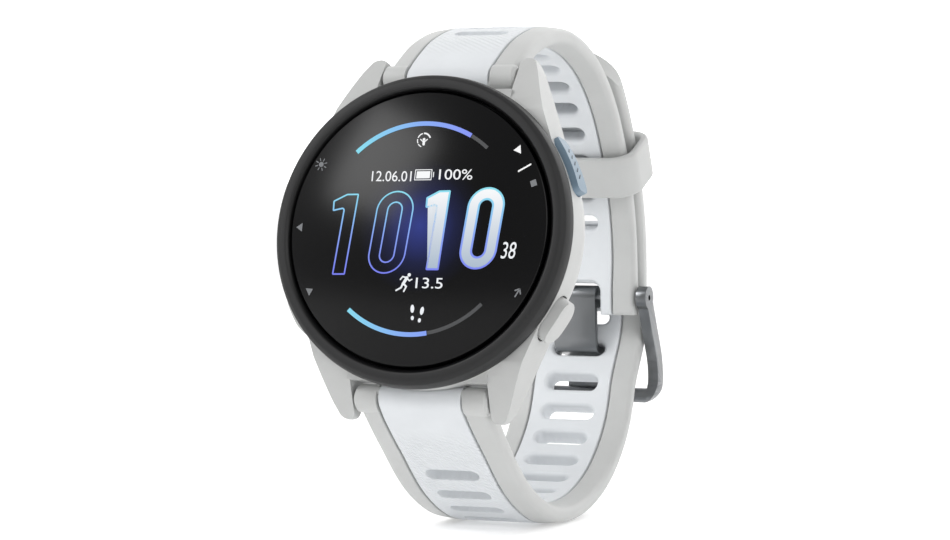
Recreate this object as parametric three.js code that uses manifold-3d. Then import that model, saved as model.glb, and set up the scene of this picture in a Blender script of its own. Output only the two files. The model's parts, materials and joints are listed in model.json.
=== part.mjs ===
// A GPS running watch: a round head with five push buttons, on a two-colour silicone strap
// that is closed into a loop by a pin buckle and one sliding keeper.
// Millimetres, +Z up. The loop stands on its lowest point, and the face looks towards -Y.
import * as THREE from "three";
import { mergeVertices } from "three/addons/utils/BufferGeometryUtils.js";
import Module from "manifold-3d";

const wasm = await Module();
wasm.setup();

// ---------------------------------------------------------------- driving dimensions
const GAP = 0.3; // clearance left between two pieces that meet
const FINEST = 0.003; // shorter edges than this are merged away

// Head. Radii about its own axis; depths count from the front of the glass and are negative.
const bezelRadius = 21.5;
const caseRadius = 21.25;
const caseBackRadius = 20.4;
const caseTop = -3.4;
const caseBottom = -9.4;
const wall = 2.35; // thickness of the case wall
const lensRadius = 18.85;
const lensThickness = 1.2;
const displayRadius = 16.6;
const displayThickness = 1.4;
const coverThickness = 1.3;
const bumpHeight = 0.6; // how far the sensor window stands out of the back
const sensorRadius = 5.2;
const contactRow = [-3.6, -1.2, 1.2, 3.6];
const contactPlace = -10.6; // towards 6 o'clock
const headTilt = THREE.MathUtils.degToRad(12.2); // how far the face leans back
const headHeight = 40.5; // centre of the glass above the loop's own zero
const headFront = -29; // centre of the glass towards the viewer

// Lugs and spring bars.
const lugGap = 20.3; // between the inner faces of a pair of lugs
const lugReach = 25.2; // from the head's axis to a lug's tip
const barReach = 22.3; // from the head's axis to a spring bar
const barDepth = -7.2;
const barRadius = 0.75;
const barTipRadius = 0.4;
const barTipLength = 1.0;
const releaseTravel = 1.2;
const knobPlace = 6; // of the release knob, from the middle of the bar

// Buttons: angle about the head's axis from 3 o'clock, length round the case, height.
const buttons = [
  { name: "start", angle: 27.5, length: 8.4, height: 3.4, colour: 0x8a9aa3 },
  { name: "back", angle: -31, length: 6.4, height: 4.0, colour: 0xc6c7c7 },
  { name: "light", angle: 150, length: 6.4, height: 4.0, colour: 0xc6c7c7 },
  { name: "up", angle: 180, length: 6.4, height: 4.0, colour: 0xc6c7c7 },
  { name: "down", angle: 210, length: 6.4, height: 4.0, colour: 0xc6c7c7 },
];
const buttonProud = 0.9;
const buttonCap = 1.45; // thickness of a button's cap
const buttonTravel = 0.5;
const stemRadius = 0.7;

// Strap. Thicknesses are half thicknesses either side of the strap's middle surface.
const strapHalfWidth = 9.5;
const coreHalfWidth = 6.1;
const edgeHalf = 1.0; // at the side of the strap
const crownOut = 1.4; // at the middle, on the outside
const crownIn = 1.65; // at the middle, against the wrist
const lugThickening = 0.6;
const endThickening = 0.5; // round the buckle's bar
const rollRadius = 1.9; // the strap's roll round a spring bar
const shortLength = 76.2; // along the middle surface, from bar to end
const tailLength = 41; // how far the long strap runs on past the short strap's end
const layerGap = 0.9; // between the short strap and the long strap over it
const layerRun = 12; // length in which the long strap climbs over the short one
const slotLength = 8.2;
const slotWidth = 2.5;
const slotPitch = 5;
const firstSlot = 12; // first slot from the spring bar
const bridgeFromBar = 6.5; // the web that joins the strap's rails through its core
const tipLength = 5; // the long strap's end that is all of the rails' colour
const stepLength = 5; // facets along the strap
const roundFacets = 36; // facets round the head
const coverFacets = 28; // facets round the back cover and its gasket

// Buckle and keeper.
const buckleBarRadius = 0.6;
const buckleBarFromEnd = 2.6;
const armThickness = 1.6;
const armWidth = 2.3;
const crossbarFromBar = 15.2;
const crossbarThickness = 1.5;
const crossbarWidth = 2.2;
const crossbarClearance = 1.3;
const tongueHalfWidth = 3.35;
const tongueThickness = 1.0;
const tongueSlotFromBar = 8.5;
const notchHalfWidth = 4.0;
const notchLength = 4.7;
const keeperFromEnd = 22.3;
const keeperLength = 6.4;
const keeperWall = 1.3;
const keeperClearance = 0.55;
const keeperCorner = 3.2;

// Middle line of the loop between the two spring bars, as (Y, Z) points.
const loopLine = [
  [-9, 65.4], [1.5, 67.2], [12, 64.6], [20.3, 58.6], [26.3, 49.5], [29.6, 40], [30.4, 30],
  [30.2, 20], [27.2, 10.2], [19.6, 3.0], [9, -0.7], [-2, -0.4], [-12, 3.8], [-20.3, 10.7],
];

// ---------------------------------------------------------------- sizes worked out from them
const innerRadius = caseRadius - wall;
const layerRise = crownOut + layerGap + crownIn;
const coverTop = caseBottom - GAP;
const coverBottom = coverTop - coverThickness;
const flangeTop = caseBottom + 1.6;
const buttonDepth = flangeTop + 1.8;
const flangeInner = 15.2;
const screwCircle = 17.5;
const screwHeadRadius = 0.95;
const screwRadius = 0.5;
const stemEnd = innerRadius - 0.35; // inner end of a button's stem
const sealWidth = 0.7;
const sealHalf = 0.2; // half a seal's thickness
const sealClearance = GAP / 2;
const grooveInner = 16.0; // of the back gasket's groove
const grooveOuter = 16.6;
const grooveDepth = 0.45;
const lipRadius = displayRadius + 0.8; // inner edge of the bezel's ledge
const displayTop = -lensThickness - GAP;
const ledgeTop = -2.1;
const bezelBottom = caseTop + GAP;
const chassisTop = bezelBottom - GAP;
const chassisPlateBottom = chassisTop - 0.6;
const chassisRadius = innerRadius - 0.4;
const boardBottom = flangeTop + GAP;
const boardTop = boardBottom + 0.6;
const boardRadius = innerRadius - 2.9; // inside the ring of switches
const buckleBar = shortLength - buckleBarFromEnd;
const tailEnd = shortLength - tailLength;
const tongueSlot = buckleBar + tongueSlotFromBar;
const armInner = strapHalfWidth + 0.4;
const armOuter = armInner + armThickness;

// ---------------------------------------------------------------- solids
function solidOf(geometry) {
  const bare = geometry.clone();
  bare.deleteAttribute("normal");
  bare.deleteAttribute("uv");
  const merged = mergeVertices(bare, 1e-4);
  const vertProperties = new Float32Array(merged.attributes.position.array);
  const triVerts = new Uint32Array(merged.index.array);
  const made = new wasm.Manifold(new wasm.Mesh({ numProp: 3, vertProperties, triVerts }));
  if (made.volume() > 0) return made;
  return new wasm.Manifold(
    new wasm.Mesh({ numProp: 3, vertProperties, triVerts: triVerts.reverse() }),
  );
}

function geometryOf(solid) {
  const mesh = solid.getMesh();
  const geometry = new THREE.BufferGeometry();
  geometry.setAttribute("position", new THREE.BufferAttribute(mesh.vertProperties, 3));
  geometry.setIndex(new THREE.BufferAttribute(mesh.triVerts, 1));
  const flat = geometry.toNonIndexed();
  flat.computeVertexNormals();
  return flat;
}

function outline(points) {
  return new THREE.Shape(points.map(([x, y]) => new THREE.Vector2(x, y)));
}

function roundedRectangle(halfX, halfY, radius) {
  const r = Math.min(radius, halfX, halfY);
  const shape = new THREE.Shape();
  shape.absarc(halfX - r, halfY - r, r, 0, Math.PI / 2);
  shape.absarc(r - halfX, halfY - r, r, Math.PI / 2, Math.PI);
  shape.absarc(r - halfX, r - halfY, r, Math.PI, 1.5 * Math.PI);
  shape.absarc(halfX - r, r - halfY, r, 1.5 * Math.PI, 2 * Math.PI);
  return shape;
}

// A flat outline given thickness from z = low to z = high.
function slab(shape, low, high, curveSegments = 4) {
  const options = { depth: high - low, bevelEnabled: false, curveSegments };
  return new THREE.ExtrudeGeometry(shape, options).translate(0, 0, low);
}

// A profile of [radius, z] points turned about Z.
function turned(profile, segments = 24) {
  const points = [...profile, profile[0]].map(([r, z]) => new THREE.Vector2(r, z));
  return solidOf(new THREE.LatheGeometry(points, segments).rotateX(Math.PI / 2));
}

function disc(radius, low, high, segments = 24) {
  const geometry = new THREE.CylinderGeometry(radius, radius, high - low, segments);
  return solidOf(geometry.rotateX(Math.PI / 2).translate(0, 0, (low + high) / 2));
}

function ring(inner, outer, low, high, segments = 24) {
  return turned([[inner, low], [outer, low], [outer, high], [inner, high]], segments);
}

// A rod along X.
function rod(radius, from, to, y = 0, z = 0, segments = 12) {
  const geometry = new THREE.CylinderGeometry(radius, radius, to - from, segments);
  return solidOf(geometry.rotateZ(Math.PI / 2).translate((from + to) / 2, y, z));
}

function box(x0, x1, y0, y1, z0, z1) {
  const geometry = new THREE.BoxGeometry(x1 - x0, y1 - y0, z1 - z0);
  return solidOf(geometry.translate((x0 + x1) / 2, (y0 + y1) / 2, (z0 + z1) / 2));
}

// ---------------------------------------------------------------- the scene
const watch = new THREE.Group();
const head = new THREE.Group();
head.position.set(0, headFront, headHeight);
head.rotation.x = Math.PI / 2 - headTilt;
head.updateMatrix();
watch.add(head);

function addPiece(group, name, solid, color, roughness, metalness = 0) {
  const material = new THREE.MeshStandardMaterial({ color, roughness, metalness });
  const mesh = new THREE.Mesh(geometryOf(solid.simplify(FINEST)), material);
  mesh.name = name;
  group.add(mesh);
}

// ---------------------------------------------------------------- the head
function lugOutline() {
  const inner = lugGap / 2;
  const shape = new THREE.Shape();
  shape.moveTo(inner, 14);
  shape.lineTo(inner, lugReach - 0.5);
  shape.quadraticCurveTo(inner + 0.1, lugReach, inner + 0.8, lugReach);
  shape.quadraticCurveTo(inner + 2.1, lugReach - 0.2, inner + 3, lugReach - 2.2);
  shape.lineTo(caseRadius * Math.cos(0.62), caseRadius * Math.sin(0.62));
  shape.lineTo(15, 10);
  return shape;
}

// Side view of a lug as [reach, depth]: its top falls away from the bezel.
function lugSide() {
  const shape = new THREE.Shape();
  shape.moveTo(8, caseTop);
  shape.lineTo(caseRadius - 4, caseTop);
  shape.quadraticCurveTo(lugReach - 4, caseTop - 1.4, lugReach + 0.1, barDepth - 0.3);
  shape.quadraticCurveTo(lugReach + 0.2, barDepth - 1.7, lugReach - 2, barDepth - 2.0);
  shape.lineTo(19, caseBottom);
  shape.lineTo(8, caseBottom);
  return shape;
}

function lug(right, top) {
  const plan = solidOf(slab(lugOutline(), caseBottom - 1, caseTop + 1, 3));
  const side = solidOf(
    slab(lugSide(), 0, 30, 4).applyMatrix4(
      new THREE.Matrix4().makeBasis(
        new THREE.Vector3(0, 1, 0), new THREE.Vector3(0, 0, 1), new THREE.Vector3(1, 0, 0),
      ),
    ),
  );
  const made = geometryOf(plan.intersect(side));
  return solidOf(made.scale(right, top, 1));
}

function radial(geometry, angle) {
  return geometry.applyMatrix4(
    new THREE.Matrix4()
      .makeRotationZ(THREE.MathUtils.degToRad(angle))
      .multiply(new THREE.Matrix4().makeTranslation(0, 0, buttonDepth)),
  );
}

// A rounded bar standing out along a button's axis, from radius low to radius high.
function buttonBlock(button, grow, low, high) {
  const halfLength = button.length / 2 + grow;
  const halfHeight = button.height / 2 + grow;
  const plan = roundedRectangle(halfLength, halfHeight, halfHeight);
  const geometry = slab(plan, low, high, 3);
  geometry.rotateX(Math.PI / 2).rotateZ(Math.PI / 2);
  return solidOf(radial(geometry, button.angle));
}

function stemRod(button, radius, low, high) {
  const geometry = new THREE.CylinderGeometry(radius, radius, high - low, 8);
  geometry.rotateZ(Math.PI / 2).translate((low + high) / 2, 0, 0);
  return solidOf(radial(geometry, button.angle));
}

const capOuter = caseRadius + buttonProud;
const capInner = capOuter - buttonCap;
const pocketFloor = capInner - buttonTravel - 0.1;
const sealMiddle = (innerRadius + pocketFloor) / 2;

function midCase() {
  let made = turned([
    [flangeInner, caseBottom], [caseBackRadius, caseBottom], [caseRadius, caseBottom + 2.6],
    [caseRadius, caseTop], [innerRadius, caseTop], [innerRadius, flangeTop],
    [flangeInner, flangeTop],
  ], roundFacets);
  for (const right of [1, -1]) for (const top of [1, -1]) made = made.add(lug(right, top));
  made = made.subtract(disc(innerRadius, flangeTop, caseTop + 1, roundFacets));
  for (const top of [1, -1]) {
    const near = innerRadius + 1;
    const [y0, y1] = top > 0 ? [near, lugReach + 2] : [-lugReach - 2, -near];
    made = made.subtract(box(-lugGap / 2, lugGap / 2, y0, y1, caseBottom - 2, caseTop - 1.6));
    const hole = barTipRadius + 0.15;
    const deep = lugGap / 2 + barTipLength + GAP;
    made = made.subtract(rod(hole, -deep, deep, top * barReach, barDepth));
  }
  const shell = ring(pocketFloor, caseRadius + 5, buttonDepth - 4, buttonDepth + 4, roundFacets);
  for (const button of buttons) {
    made = made.subtract(buttonBlock(button, GAP, pocketFloor - 3, capOuter + 2).intersect(shell));
    made = made.subtract(stemRod(button, stemRadius + GAP, innerRadius - 2, caseRadius));
    const low = sealMiddle - sealHalf - sealClearance;
    const high = sealMiddle + sealHalf + sealClearance;
    made = made.subtract(stemRod(button, stemRadius + GAP + sealWidth, low, high));
  }
  for (let i = 0; i < 4; i++) made = made.subtract(screwPiece(i, GAP));
  return made;
}

function buttonPiece(button) {
  const skin = ring(capInner, capOuter, buttonDepth - 4, buttonDepth + 4, roundFacets);
  const cap = buttonBlock(button, 0, capInner - 3, capOuter + 2).intersect(skin);
  return cap.add(stemRod(button, stemRadius, stemEnd, capInner + 0.5));
}

function sealPiece(button) {
  const low = sealMiddle - sealHalf;
  const outer = stemRod(button, stemRadius + sealWidth, low, sealMiddle + sealHalf);
  return outer.subtract(stemRod(button, stemRadius + GAP, sealMiddle - 1, sealMiddle + 1));
}

function switchPiece(button) {
  const face = stemEnd - buttonTravel - 0.1;
  const body = solidOf(
    radial(new THREE.BoxGeometry(1.1, 3.2, 2.4).translate(face - 0.95, 0, 0), button.angle),
  );
  return body.add(stemRod(button, 0.6, face - 1, face));
}

function bezelPiece() {
  const inside = lensRadius + GAP;
  return turned([
    [lipRadius, ledgeTop], [inside, ledgeTop], [inside, -0.5], [inside + 0.5, 0.12],
    [bezelRadius - 0.9, 0.05], [bezelRadius - 0.2, -0.6], [bezelRadius, -1.6],
    [bezelRadius, bezelBottom + 0.3], [bezelRadius - 0.3, bezelBottom],
    [lipRadius, bezelBottom],
  ], roundFacets);
}

function chassisPiece() {
  const rim = chassisRadius - 1;
  let made = turned([
    [0, chassisTop], [0, chassisPlateBottom], [rim, chassisPlateBottom], [rim, boardTop - 0.3],
    [chassisRadius, boardTop - 0.3], [chassisRadius, chassisTop],
  ]);
  for (const button of buttons) {
    const window = new THREE.BoxGeometry(4, 3.8, 3).translate(chassisRadius - 1, 0, 0);
    made = made.subtract(solidOf(radial(window, button.angle)));
  }
  return made;
}

function screwPiece(index, grow = 0) {
  const angle = Math.PI / 4 + (index * Math.PI) / 2;
  const low = coverBottom + 0.05;
  const top = disc(screwHeadRadius + grow, low - grow, low + 0.5 + grow, 10);
  const shank = disc(screwRadius + grow, low, flangeTop - 0.2, 10);
  const made = geometryOf(top.add(shank));
  return solidOf(
    made.translate(screwCircle * Math.cos(angle), screwCircle * Math.sin(angle), 0),
  );
}

function contactPiece(x, grow = 0) {
  const made = geometryOf(disc(0.55 + grow, coverBottom + 0.35 - grow, coverTop + 0.6 + grow, 8));
  return solidOf(made.translate(x, contactPlace, 0));
}

function backCover() {
  let made = turned([
    [0, coverTop], [flangeInner - 1.3, coverTop], [flangeInner - 1.3, coverTop + 0.9],
    [flangeInner - GAP, coverTop + 0.9], [flangeInner - GAP, coverTop],
    [grooveInner, coverTop], [grooveInner, coverTop - grooveDepth],
    [grooveOuter, coverTop - grooveDepth], [grooveOuter, coverTop],
    [caseBackRadius - 0.8, coverTop], [caseBackRadius - 1.4, coverBottom], [0, coverBottom],
  ], coverFacets);
  made = made.subtract(disc(sensorRadius + GAP, coverBottom - 1, coverTop + 1, 24));
  for (let i = 0; i < 4; i++) made = made.subtract(screwPiece(i, GAP));
  for (const x of contactRow) made = made.subtract(contactPiece(x, GAP));
  const socket = box(-5.2, 5.2, contactPlace - 1.5, contactPlace + 1.5,
    coverBottom - 1, coverBottom + 0.4);
  return made.subtract(socket);
}

function buildHead() {
  addPiece(head, "mid_case", midCase(), 0xc6c7c7, 0.6);
  addPiece(head, "bezel", bezelPiece(), 0x1d1d1e, 0.55);
  addPiece(head, "lens", turned([
    [0, 0], [0, -lensThickness], [lensRadius, -lensThickness], [lensRadius, -0.2],
    [lensRadius - 0.2, 0],
  ], roundFacets), 0x101114, 0.05);
  const sealLow = ledgeTop + 0.3;
  addPiece(head, "lens_gasket",
    ring(lipRadius, lensRadius - 0.3, sealLow, -lensThickness - GAP), 0x111111, 0.8);
  const displayBottom = displayTop - displayThickness;
  addPiece(head, "display_panel", disc(displayRadius, displayBottom, displayTop), 0x0a0a10, 0.2);
  addPiece(head, "chassis", chassisPiece(), 0x2a2b2d, 0.7);
  const batteryTop = chassisPlateBottom - GAP;
  const batteryBottom = boardTop + GAP;
  addPiece(head, "battery", box(-12.6, 8.4, -8, 8, batteryBottom, batteryTop), 0xb8babd, 0.4, 0.5);
  addPiece(head, "vibration_motor",
    rod(0.95, -4, 4, -11, (batteryTop + batteryBottom) / 2, 14), 0xc2c4c8, 0.3, 1);
  const beeper = geometryOf(disc(2.9, batteryBottom, batteryTop, 20)).translate(12, 4, 0);
  addPiece(head, "beeper", solidOf(beeper), 0x222326, 0.5);
  addPiece(head, "main_board",
    disc(boardRadius, boardBottom, boardTop), 0x1e5b3a, 0.5);
  addPiece(head, "sensor_board", disc(7, coverTop + GAP + 0.2, coverTop + 1.1, 28), 0x1e5b3a, 0.5);
  const snug = GAP / 3;
  const gasket = ring(grooveInner + snug, grooveOuter - snug, coverTop - grooveDepth + snug,
    coverTop, coverFacets);
  addPiece(head, "back_gasket", gasket, 0x1a1a1a, 0.8);
  addPiece(head, "back_cover", backCover(), 0xc6c7c7, 0.6);
  addPiece(head, "sensor_window",
    disc(sensorRadius, coverBottom - bumpHeight, coverTop, 24), 0x0c0c0e, 0.1);
  contactRow.forEach((x, i) =>
    addPiece(head, "charge_contact_" + (i + 1), contactPiece(x), 0xd9b45a, 0.3, 1));
  for (let i = 0; i < 4; i++)
    addPiece(head, "back_screw_" + (i + 1), screwPiece(i), 0x3a3b3d, 0.4, 1);
  for (const button of buttons) {
    addPiece(head, button.name + "_button", buttonPiece(button), button.colour, 0.45);
    addPiece(head, button.name + "_seal", sealPiece(button), 0x1a1a1a, 0.8);
    addPiece(head, button.name + "_switch", switchPiece(button), 0x8c8f94, 0.4, 0.6);
  }
}

// ---------------------------------------------------------------- the loop's middle line
function barPoint(top) {
  return new THREE.Vector3(0, top * barReach, barDepth).applyMatrix4(head.matrix);
}

const loop = new THREE.CatmullRomCurve3(
  [barPoint(1), ...loopLine.map(([y, z]) => new THREE.Vector3(0, y, z)), barPoint(-1)],
  false, "centripetal",
);
loop.arcLengthDivisions = 600;
const loopLength = loop.getLength();

// Place, direction and outward normal at a length along the loop from the upper bar.
function station(length) {
  const at = THREE.MathUtils.clamp(length / loopLength, 0, 1);
  const along = loop.getTangentAt(at);
  const out = new THREE.Vector3(0, -along.z, along.y);
  return { point: loop.getPointAt(at), along, out };
}

function smooth(x) {
  return THREE.MathUtils.smoothstep(x, 0, 1);
}

// How far the long strap lies outside the middle line.
function rise(length) {
  return layerRise * (1 - smooth((length - shortLength) / layerRun));
}

function frameAt(length, lift = 0) {
  const { point, along, out } = station(length);
  return new THREE.Matrix4()
    .makeBasis(new THREE.Vector3(1, 0, 0), along, out)
    .setPosition(point.addScaledVector(out, lift));
}

// ---------------------------------------------------------------- the strap
function strapSection() {
  const corner = strapHalfWidth - 0.7;
  const side = [
    [corner, edgeHalf], [strapHalfWidth, edgeHalf - 0.6], [strapHalfWidth, 0.6 - edgeHalf],
    [corner, -edgeHalf], [coreHalfWidth, -crownIn],
  ];
  const left = side.map(([x, y]) => [-x, y]).reverse();
  return outline([[coreHalfWidth, crownOut], ...side, ...left, [-coreHalfWidth, crownOut]]);
}

// A strap swept along the loop from one length to another; thicken and lift are functions.
function sweep(from, to, thicken, lift) {
  const steps = Math.round((to - from) / stepLength);
  const options = { depth: to - from, steps, bevelEnabled: false };
  const geometry = new THREE.ExtrudeGeometry(strapSection(), options);
  const position = geometry.attributes.position;
  for (let i = 0; i < position.count; i++) {
    const length = from + position.getZ(i);
    const high = position.getY(i);
    const { point, out } = station(length);
    point.addScaledVector(out, high + Math.sign(high) * thicken(length) + lift(length));
    position.setXYZ(i, position.getX(i), point.y, point.z);
  }
  return solidOf(geometry);
}

function roll(top) {
  const { y, z } = barPoint(top);
  const half = lugGap / 2 - GAP;
  return rod(rollRadius, -half, half, y, z, 20);
}

// Room for a spring bar, and a window on the wrist side for its release knob.
function barRoom(top) {
  const { y, z } = barPoint(top);
  const bore = rod(barRadius + GAP, -lugGap, lugGap, y, z, 14);
  const window = new THREE.BoxGeometry(5.2, 2.0, 4).translate(knobPlace - 0.5, 0, -2);
  return bore.add(solidOf(window.applyMatrix4(frameAt(top > 0 ? 0 : loopLength))));
}

function slotAt(length, lift) {
  const shape = roundedRectangle(slotLength / 2, slotWidth / 2, slotWidth / 2);
  return solidOf(slab(shape, -5, 5, 1).applyMatrix4(frameAt(length, lift)));
}

// A web that joins the two rails through the core, with grow as its clearance.
function bridge(length, grow) {
  const half = coreHalfWidth + 0.8;
  const geometry = new THREE.BoxGeometry(2 * half, 2.4 + 2 * grow, 0.8 + 2 * grow);
  return solidOf(geometry.applyMatrix4(frameAt(length)));
}

// The strap's rails and their bridge as one piece, and the band between them as the other.
function splitStrap(whole, bridgePlace) {
  const far = 80;
  const wide = coreHalfWidth + GAP;
  const coreBand = box(-coreHalfWidth, coreHalfWidth, -far, far, -far, far);
  const pocketBand = box(-wide, wide, -far, far, -far, far);
  const core = whole.intersect(coreBand).subtract(bridge(bridgePlace, GAP));
  const frame = whole.subtract(pocketBand).add(bridge(bridgePlace, 0));
  return { core, frame };
}

function buckleBarPoint() {
  return station(buckleBar).point;
}

function shortStrap() {
  const thicken = (length) =>
    lugThickening * (1 - smooth(length / 12)) +
    endThickening * smooth((length - shortLength + 9) / 6);
  let whole = sweep(0, shortLength, thicken, () => 0).add(roll(1));
  whole = whole.subtract(barRoom(1));
  const { y, z } = buckleBarPoint();
  whole = whole.subtract(rod(buckleBarRadius + GAP, -lugGap, lugGap, y, z, 14));
  const notch = roundedRectangle(notchHalfWidth, notchLength, 1.2);
  whole = whole.subtract(solidOf(slab(notch, -5, 5, 4).applyMatrix4(frameAt(shortLength))));
  const count = Math.floor((shortLength - notchLength - 4.4 - firstSlot) / slotPitch);
  for (let i = 0; i < count; i++) whole = whole.subtract(slotAt(firstSlot + i * slotPitch, 0));
  return splitStrap(whole, bridgeFromBar);
}

// The long strap's plan at its tip: everything outside a half ellipse is cut away.
function tipCutter() {
  const reach = 9;
  const shape = outline([[-14, -4], [14, -4], [14, reach], [-14, reach]]);
  const keep = new THREE.Shape();
  keep.moveTo(strapHalfWidth + 0.01, reach + 1);
  keep.lineTo(strapHalfWidth + 0.01, reach);
  keep.absellipse(0, reach, strapHalfWidth + 0.01, reach, 0, -Math.PI, true);
  keep.lineTo(-strapHalfWidth - 0.01, reach + 1);
  const place = frameAt(tailEnd, layerRise);
  const around = solidOf(slab(shape, -6, 6).applyMatrix4(place));
  return around.subtract(solidOf(slab(keep, -7, 7, 10).applyMatrix4(place)));
}

function longStrap() {
  const thicken = (length) => lugThickening * smooth(1 - (loopLength - length) / 12);
  let whole = sweep(tailEnd, loopLength, thicken, rise).add(roll(-1));
  whole = whole.subtract(barRoom(-1)).subtract(tipCutter());
  const before = Math.floor((tongueSlot - tailEnd - 12) / slotPitch);
  const after = Math.floor((loopLength - firstSlot - tongueSlot) / slotPitch);
  for (let i = -before; i <= after; i++) {
    const length = tongueSlot + i * slotPitch;
    whole = whole.subtract(slotAt(length, rise(length)));
  }
  const place = frameAt(tailEnd + tipLength, layerRise);
  const block = (shift) =>
    solidOf(new THREE.BoxGeometry(40, 12, 12).translate(0, -6 - shift, 0).applyMatrix4(place));
  const { core, frame } = splitStrap(whole, loopLength - bridgeFromBar);
  return { core: core.subtract(block(0)), frame: frame.add(whole.intersect(block(GAP))) };
}

function buildStrap() {
  const short = shortStrap();
  addPiece(watch, "upper_strap_frame", short.frame, 0xc8c9c8, 0.75);
  addPiece(watch, "upper_strap_core", short.core, 0xe6e9ec, 0.8);
  const long = longStrap();
  addPiece(watch, "lower_strap_frame", long.frame, 0xc8c9c8, 0.75);
  addPiece(watch, "lower_strap_core", long.core, 0xe6e9ec, 0.8);
}

// ---------------------------------------------------------------- spring bars
function buildBar(name, top) {
  const { y, z } = barPoint(top);
  const turn = frameAt(top > 0 ? 0 : loopLength);
  const half = lugGap / 2 - 0.6;
  const pinFrom = knobPlace - 2;
  let tube = rod(barRadius, -half, half, y, z, 14);
  tube = tube.add(rod(barTipRadius, -lugGap / 2 - barTipLength + GAP, 0, y, z));
  tube = tube.subtract(rod(0.6, pinFrom - releaseTravel - GAP, half + 1, y, z));
  const slit = new THREE.BoxGeometry(releaseTravel + 1.6, 1.4, 2);
  slit.translate(knobPlace - releaseTravel / 2, 0, -1).applyMatrix4(turn);
  tube = tube.subtract(solidOf(slit));
  addPiece(watch, name + "_bar", tube, 0xb4b6b8, 0.3, 1);
  const knob = new THREE.CylinderGeometry(0.4, 0.4, 2.3, 10).rotateX(Math.PI / 2);
  knob.translate(knobPlace, 0, -1.15).applyMatrix4(turn);
  const pin = rod(0.3, pinFrom, lugGap / 2 + barTipLength - GAP, y, z).add(solidOf(knob));
  addPiece(watch, name + "_release_pin", pin, 0xb4b6b8, 0.3, 1);
}

// ---------------------------------------------------------------- buckle
// Side views here are drawn as [along, out] from the buckle's bar.
function sidePlaced(geometry) {
  const { along, out, point } = station(buckleBar);
  const place = new THREE.Matrix4().makeBasis(along, out, new THREE.Vector3(1, 0, 0));
  return solidOf(geometry.applyMatrix4(place.setPosition(point)));
}

// A band of even width along a curve, with round ends, as an outline.
function band(points, width, divisions) {
  const curve = new THREE.SplineCurve(points.map(([a, b]) => new THREE.Vector2(a, b)));
  const near = [];
  const off = [];
  for (let i = 0; i <= divisions; i++) {
    const p = curve.getPoint(i / divisions);
    const t = curve.getTangent(i / divisions);
    near.push([p.x - (t.y * width) / 2, p.y + (t.x * width) / 2]);
    off.push([p.x + (t.y * width) / 2, p.y - (t.x * width) / 2]);
  }
  return outline([...near, ...off.reverse()]);
}

function sideDisc(radius, [a, b], low, high, segments = 12) {
  const geometry = new THREE.CylinderGeometry(radius, radius, high - low, segments);
  return sidePlaced(geometry.rotateX(Math.PI / 2).translate(a, b, (low + high) / 2));
}

const crossbarOut =
  rise(buckleBar + crossbarFromBar) + crownOut + crossbarClearance + crossbarThickness / 2;
const crossbarPlace = [crossbarFromBar, crossbarOut];

function buckleFrame() {
  const line = [[0, 0], [4.6, 2], [9.6, 4.2], [13.2, 4.5], crossbarPlace];
  const arm = (low) =>
    sidePlaced(slab(band(line, armWidth, 6), low, low + armThickness))
      .add(sideDisc(1.75, [0, 0], low, low + armThickness, 18))
      .add(sideDisc(armWidth / 2, crossbarPlace, low, low + armThickness));
  const bar = roundedRectangle(crossbarWidth / 2, crossbarThickness / 2, 0.6);
  let made = arm(armInner).add(arm(-armOuter));
  made = made.add(
    sidePlaced(slab(bar, -armOuter, armOuter, 3).translate(...crossbarPlace, 0)),
  );
  const recess = new THREE.BoxGeometry(4, 1, 2 * tongueHalfWidth + 0.8);
  recess.translate(crossbarFromBar, crossbarOut + crossbarThickness / 2 + 0.1, 0);
  made = made.subtract(sidePlaced(recess));
  const tipRoom = armInner + 1 + GAP;
  made = made.subtract(sideDisc(buckleBarRadius + GAP, [0, 0], -tipRoom, tipRoom));
  return made.subtract(sideDisc(0.35, [0, 0], -armOuter - 1, armOuter + 1, 10));
}

function buckleTongue() {
  const over = crossbarOut + crossbarThickness / 2 - 0.4 + GAP + tongueThickness / 2;
  const a = tongueSlotFromBar;
  const line = [
    [0, -1.2], [a - 4, -1.2], [a - 1.9, -1.15], [a - 0.75, -0.6], [a - 0.3, 0.4],
    [a + 0.25, 2.8], [a + 0.7, over - 0.55], [a + 1.8, over], [crossbarFromBar + 1.3, over],
  ];
  const half = tongueHalfWidth;
  let made = sidePlaced(slab(band(line, tongueThickness, 18), -half, half));
  made = made.add(sideDisc(1.7, [0, 0], -half, half, 18));
  return made.subtract(sideDisc(buckleBarRadius + GAP, [0, 0], -half - 1, half + 1));
}

function buildBuckle() {
  const { y, z } = buckleBarPoint();
  addPiece(watch, "buckle_bar", rod(buckleBarRadius, -armInner - 1, armInner + 1, y, z),
    0x8a8c8e, 0.3, 1);
  addPiece(watch, "buckle_frame", buckleFrame(), 0x77797b, 0.3, 1);
  addPiece(watch, "buckle_tongue", buckleTongue(), 0x77797b, 0.3, 1);
}

function buildKeeper() {
  const halfX = strapHalfWidth + keeperClearance;
  const low = -crownIn - keeperClearance;
  const high = layerRise + crownOut + keeperClearance;
  const middle = (low + high) / 2;
  const halfN = (high - low) / 2;
  const outer = roundedRectangle(halfX + keeperWall, halfN + keeperWall, keeperCorner);
  const inner = roundedRectangle(halfX, halfN, keeperCorner - keeperWall);
  const place = frameAt(shortLength - keeperFromEnd, middle)
    .multiply(new THREE.Matrix4().makeRotationX(Math.PI / 2));
  const half = keeperLength / 2;
  const skin = solidOf(slab(outer, -half, half, 3).applyMatrix4(place));
  const room = solidOf(slab(inner, -half - 1, half + 1, 3).applyMatrix4(place));
  addPiece(watch, "keeper", skin.subtract(room), 0xc8c9c8, 0.75);
}

buildHead();
buildStrap();
buildBar("upper", 1);
buildBar("lower", -1);
buildBuckle();
buildKeeper();

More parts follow.
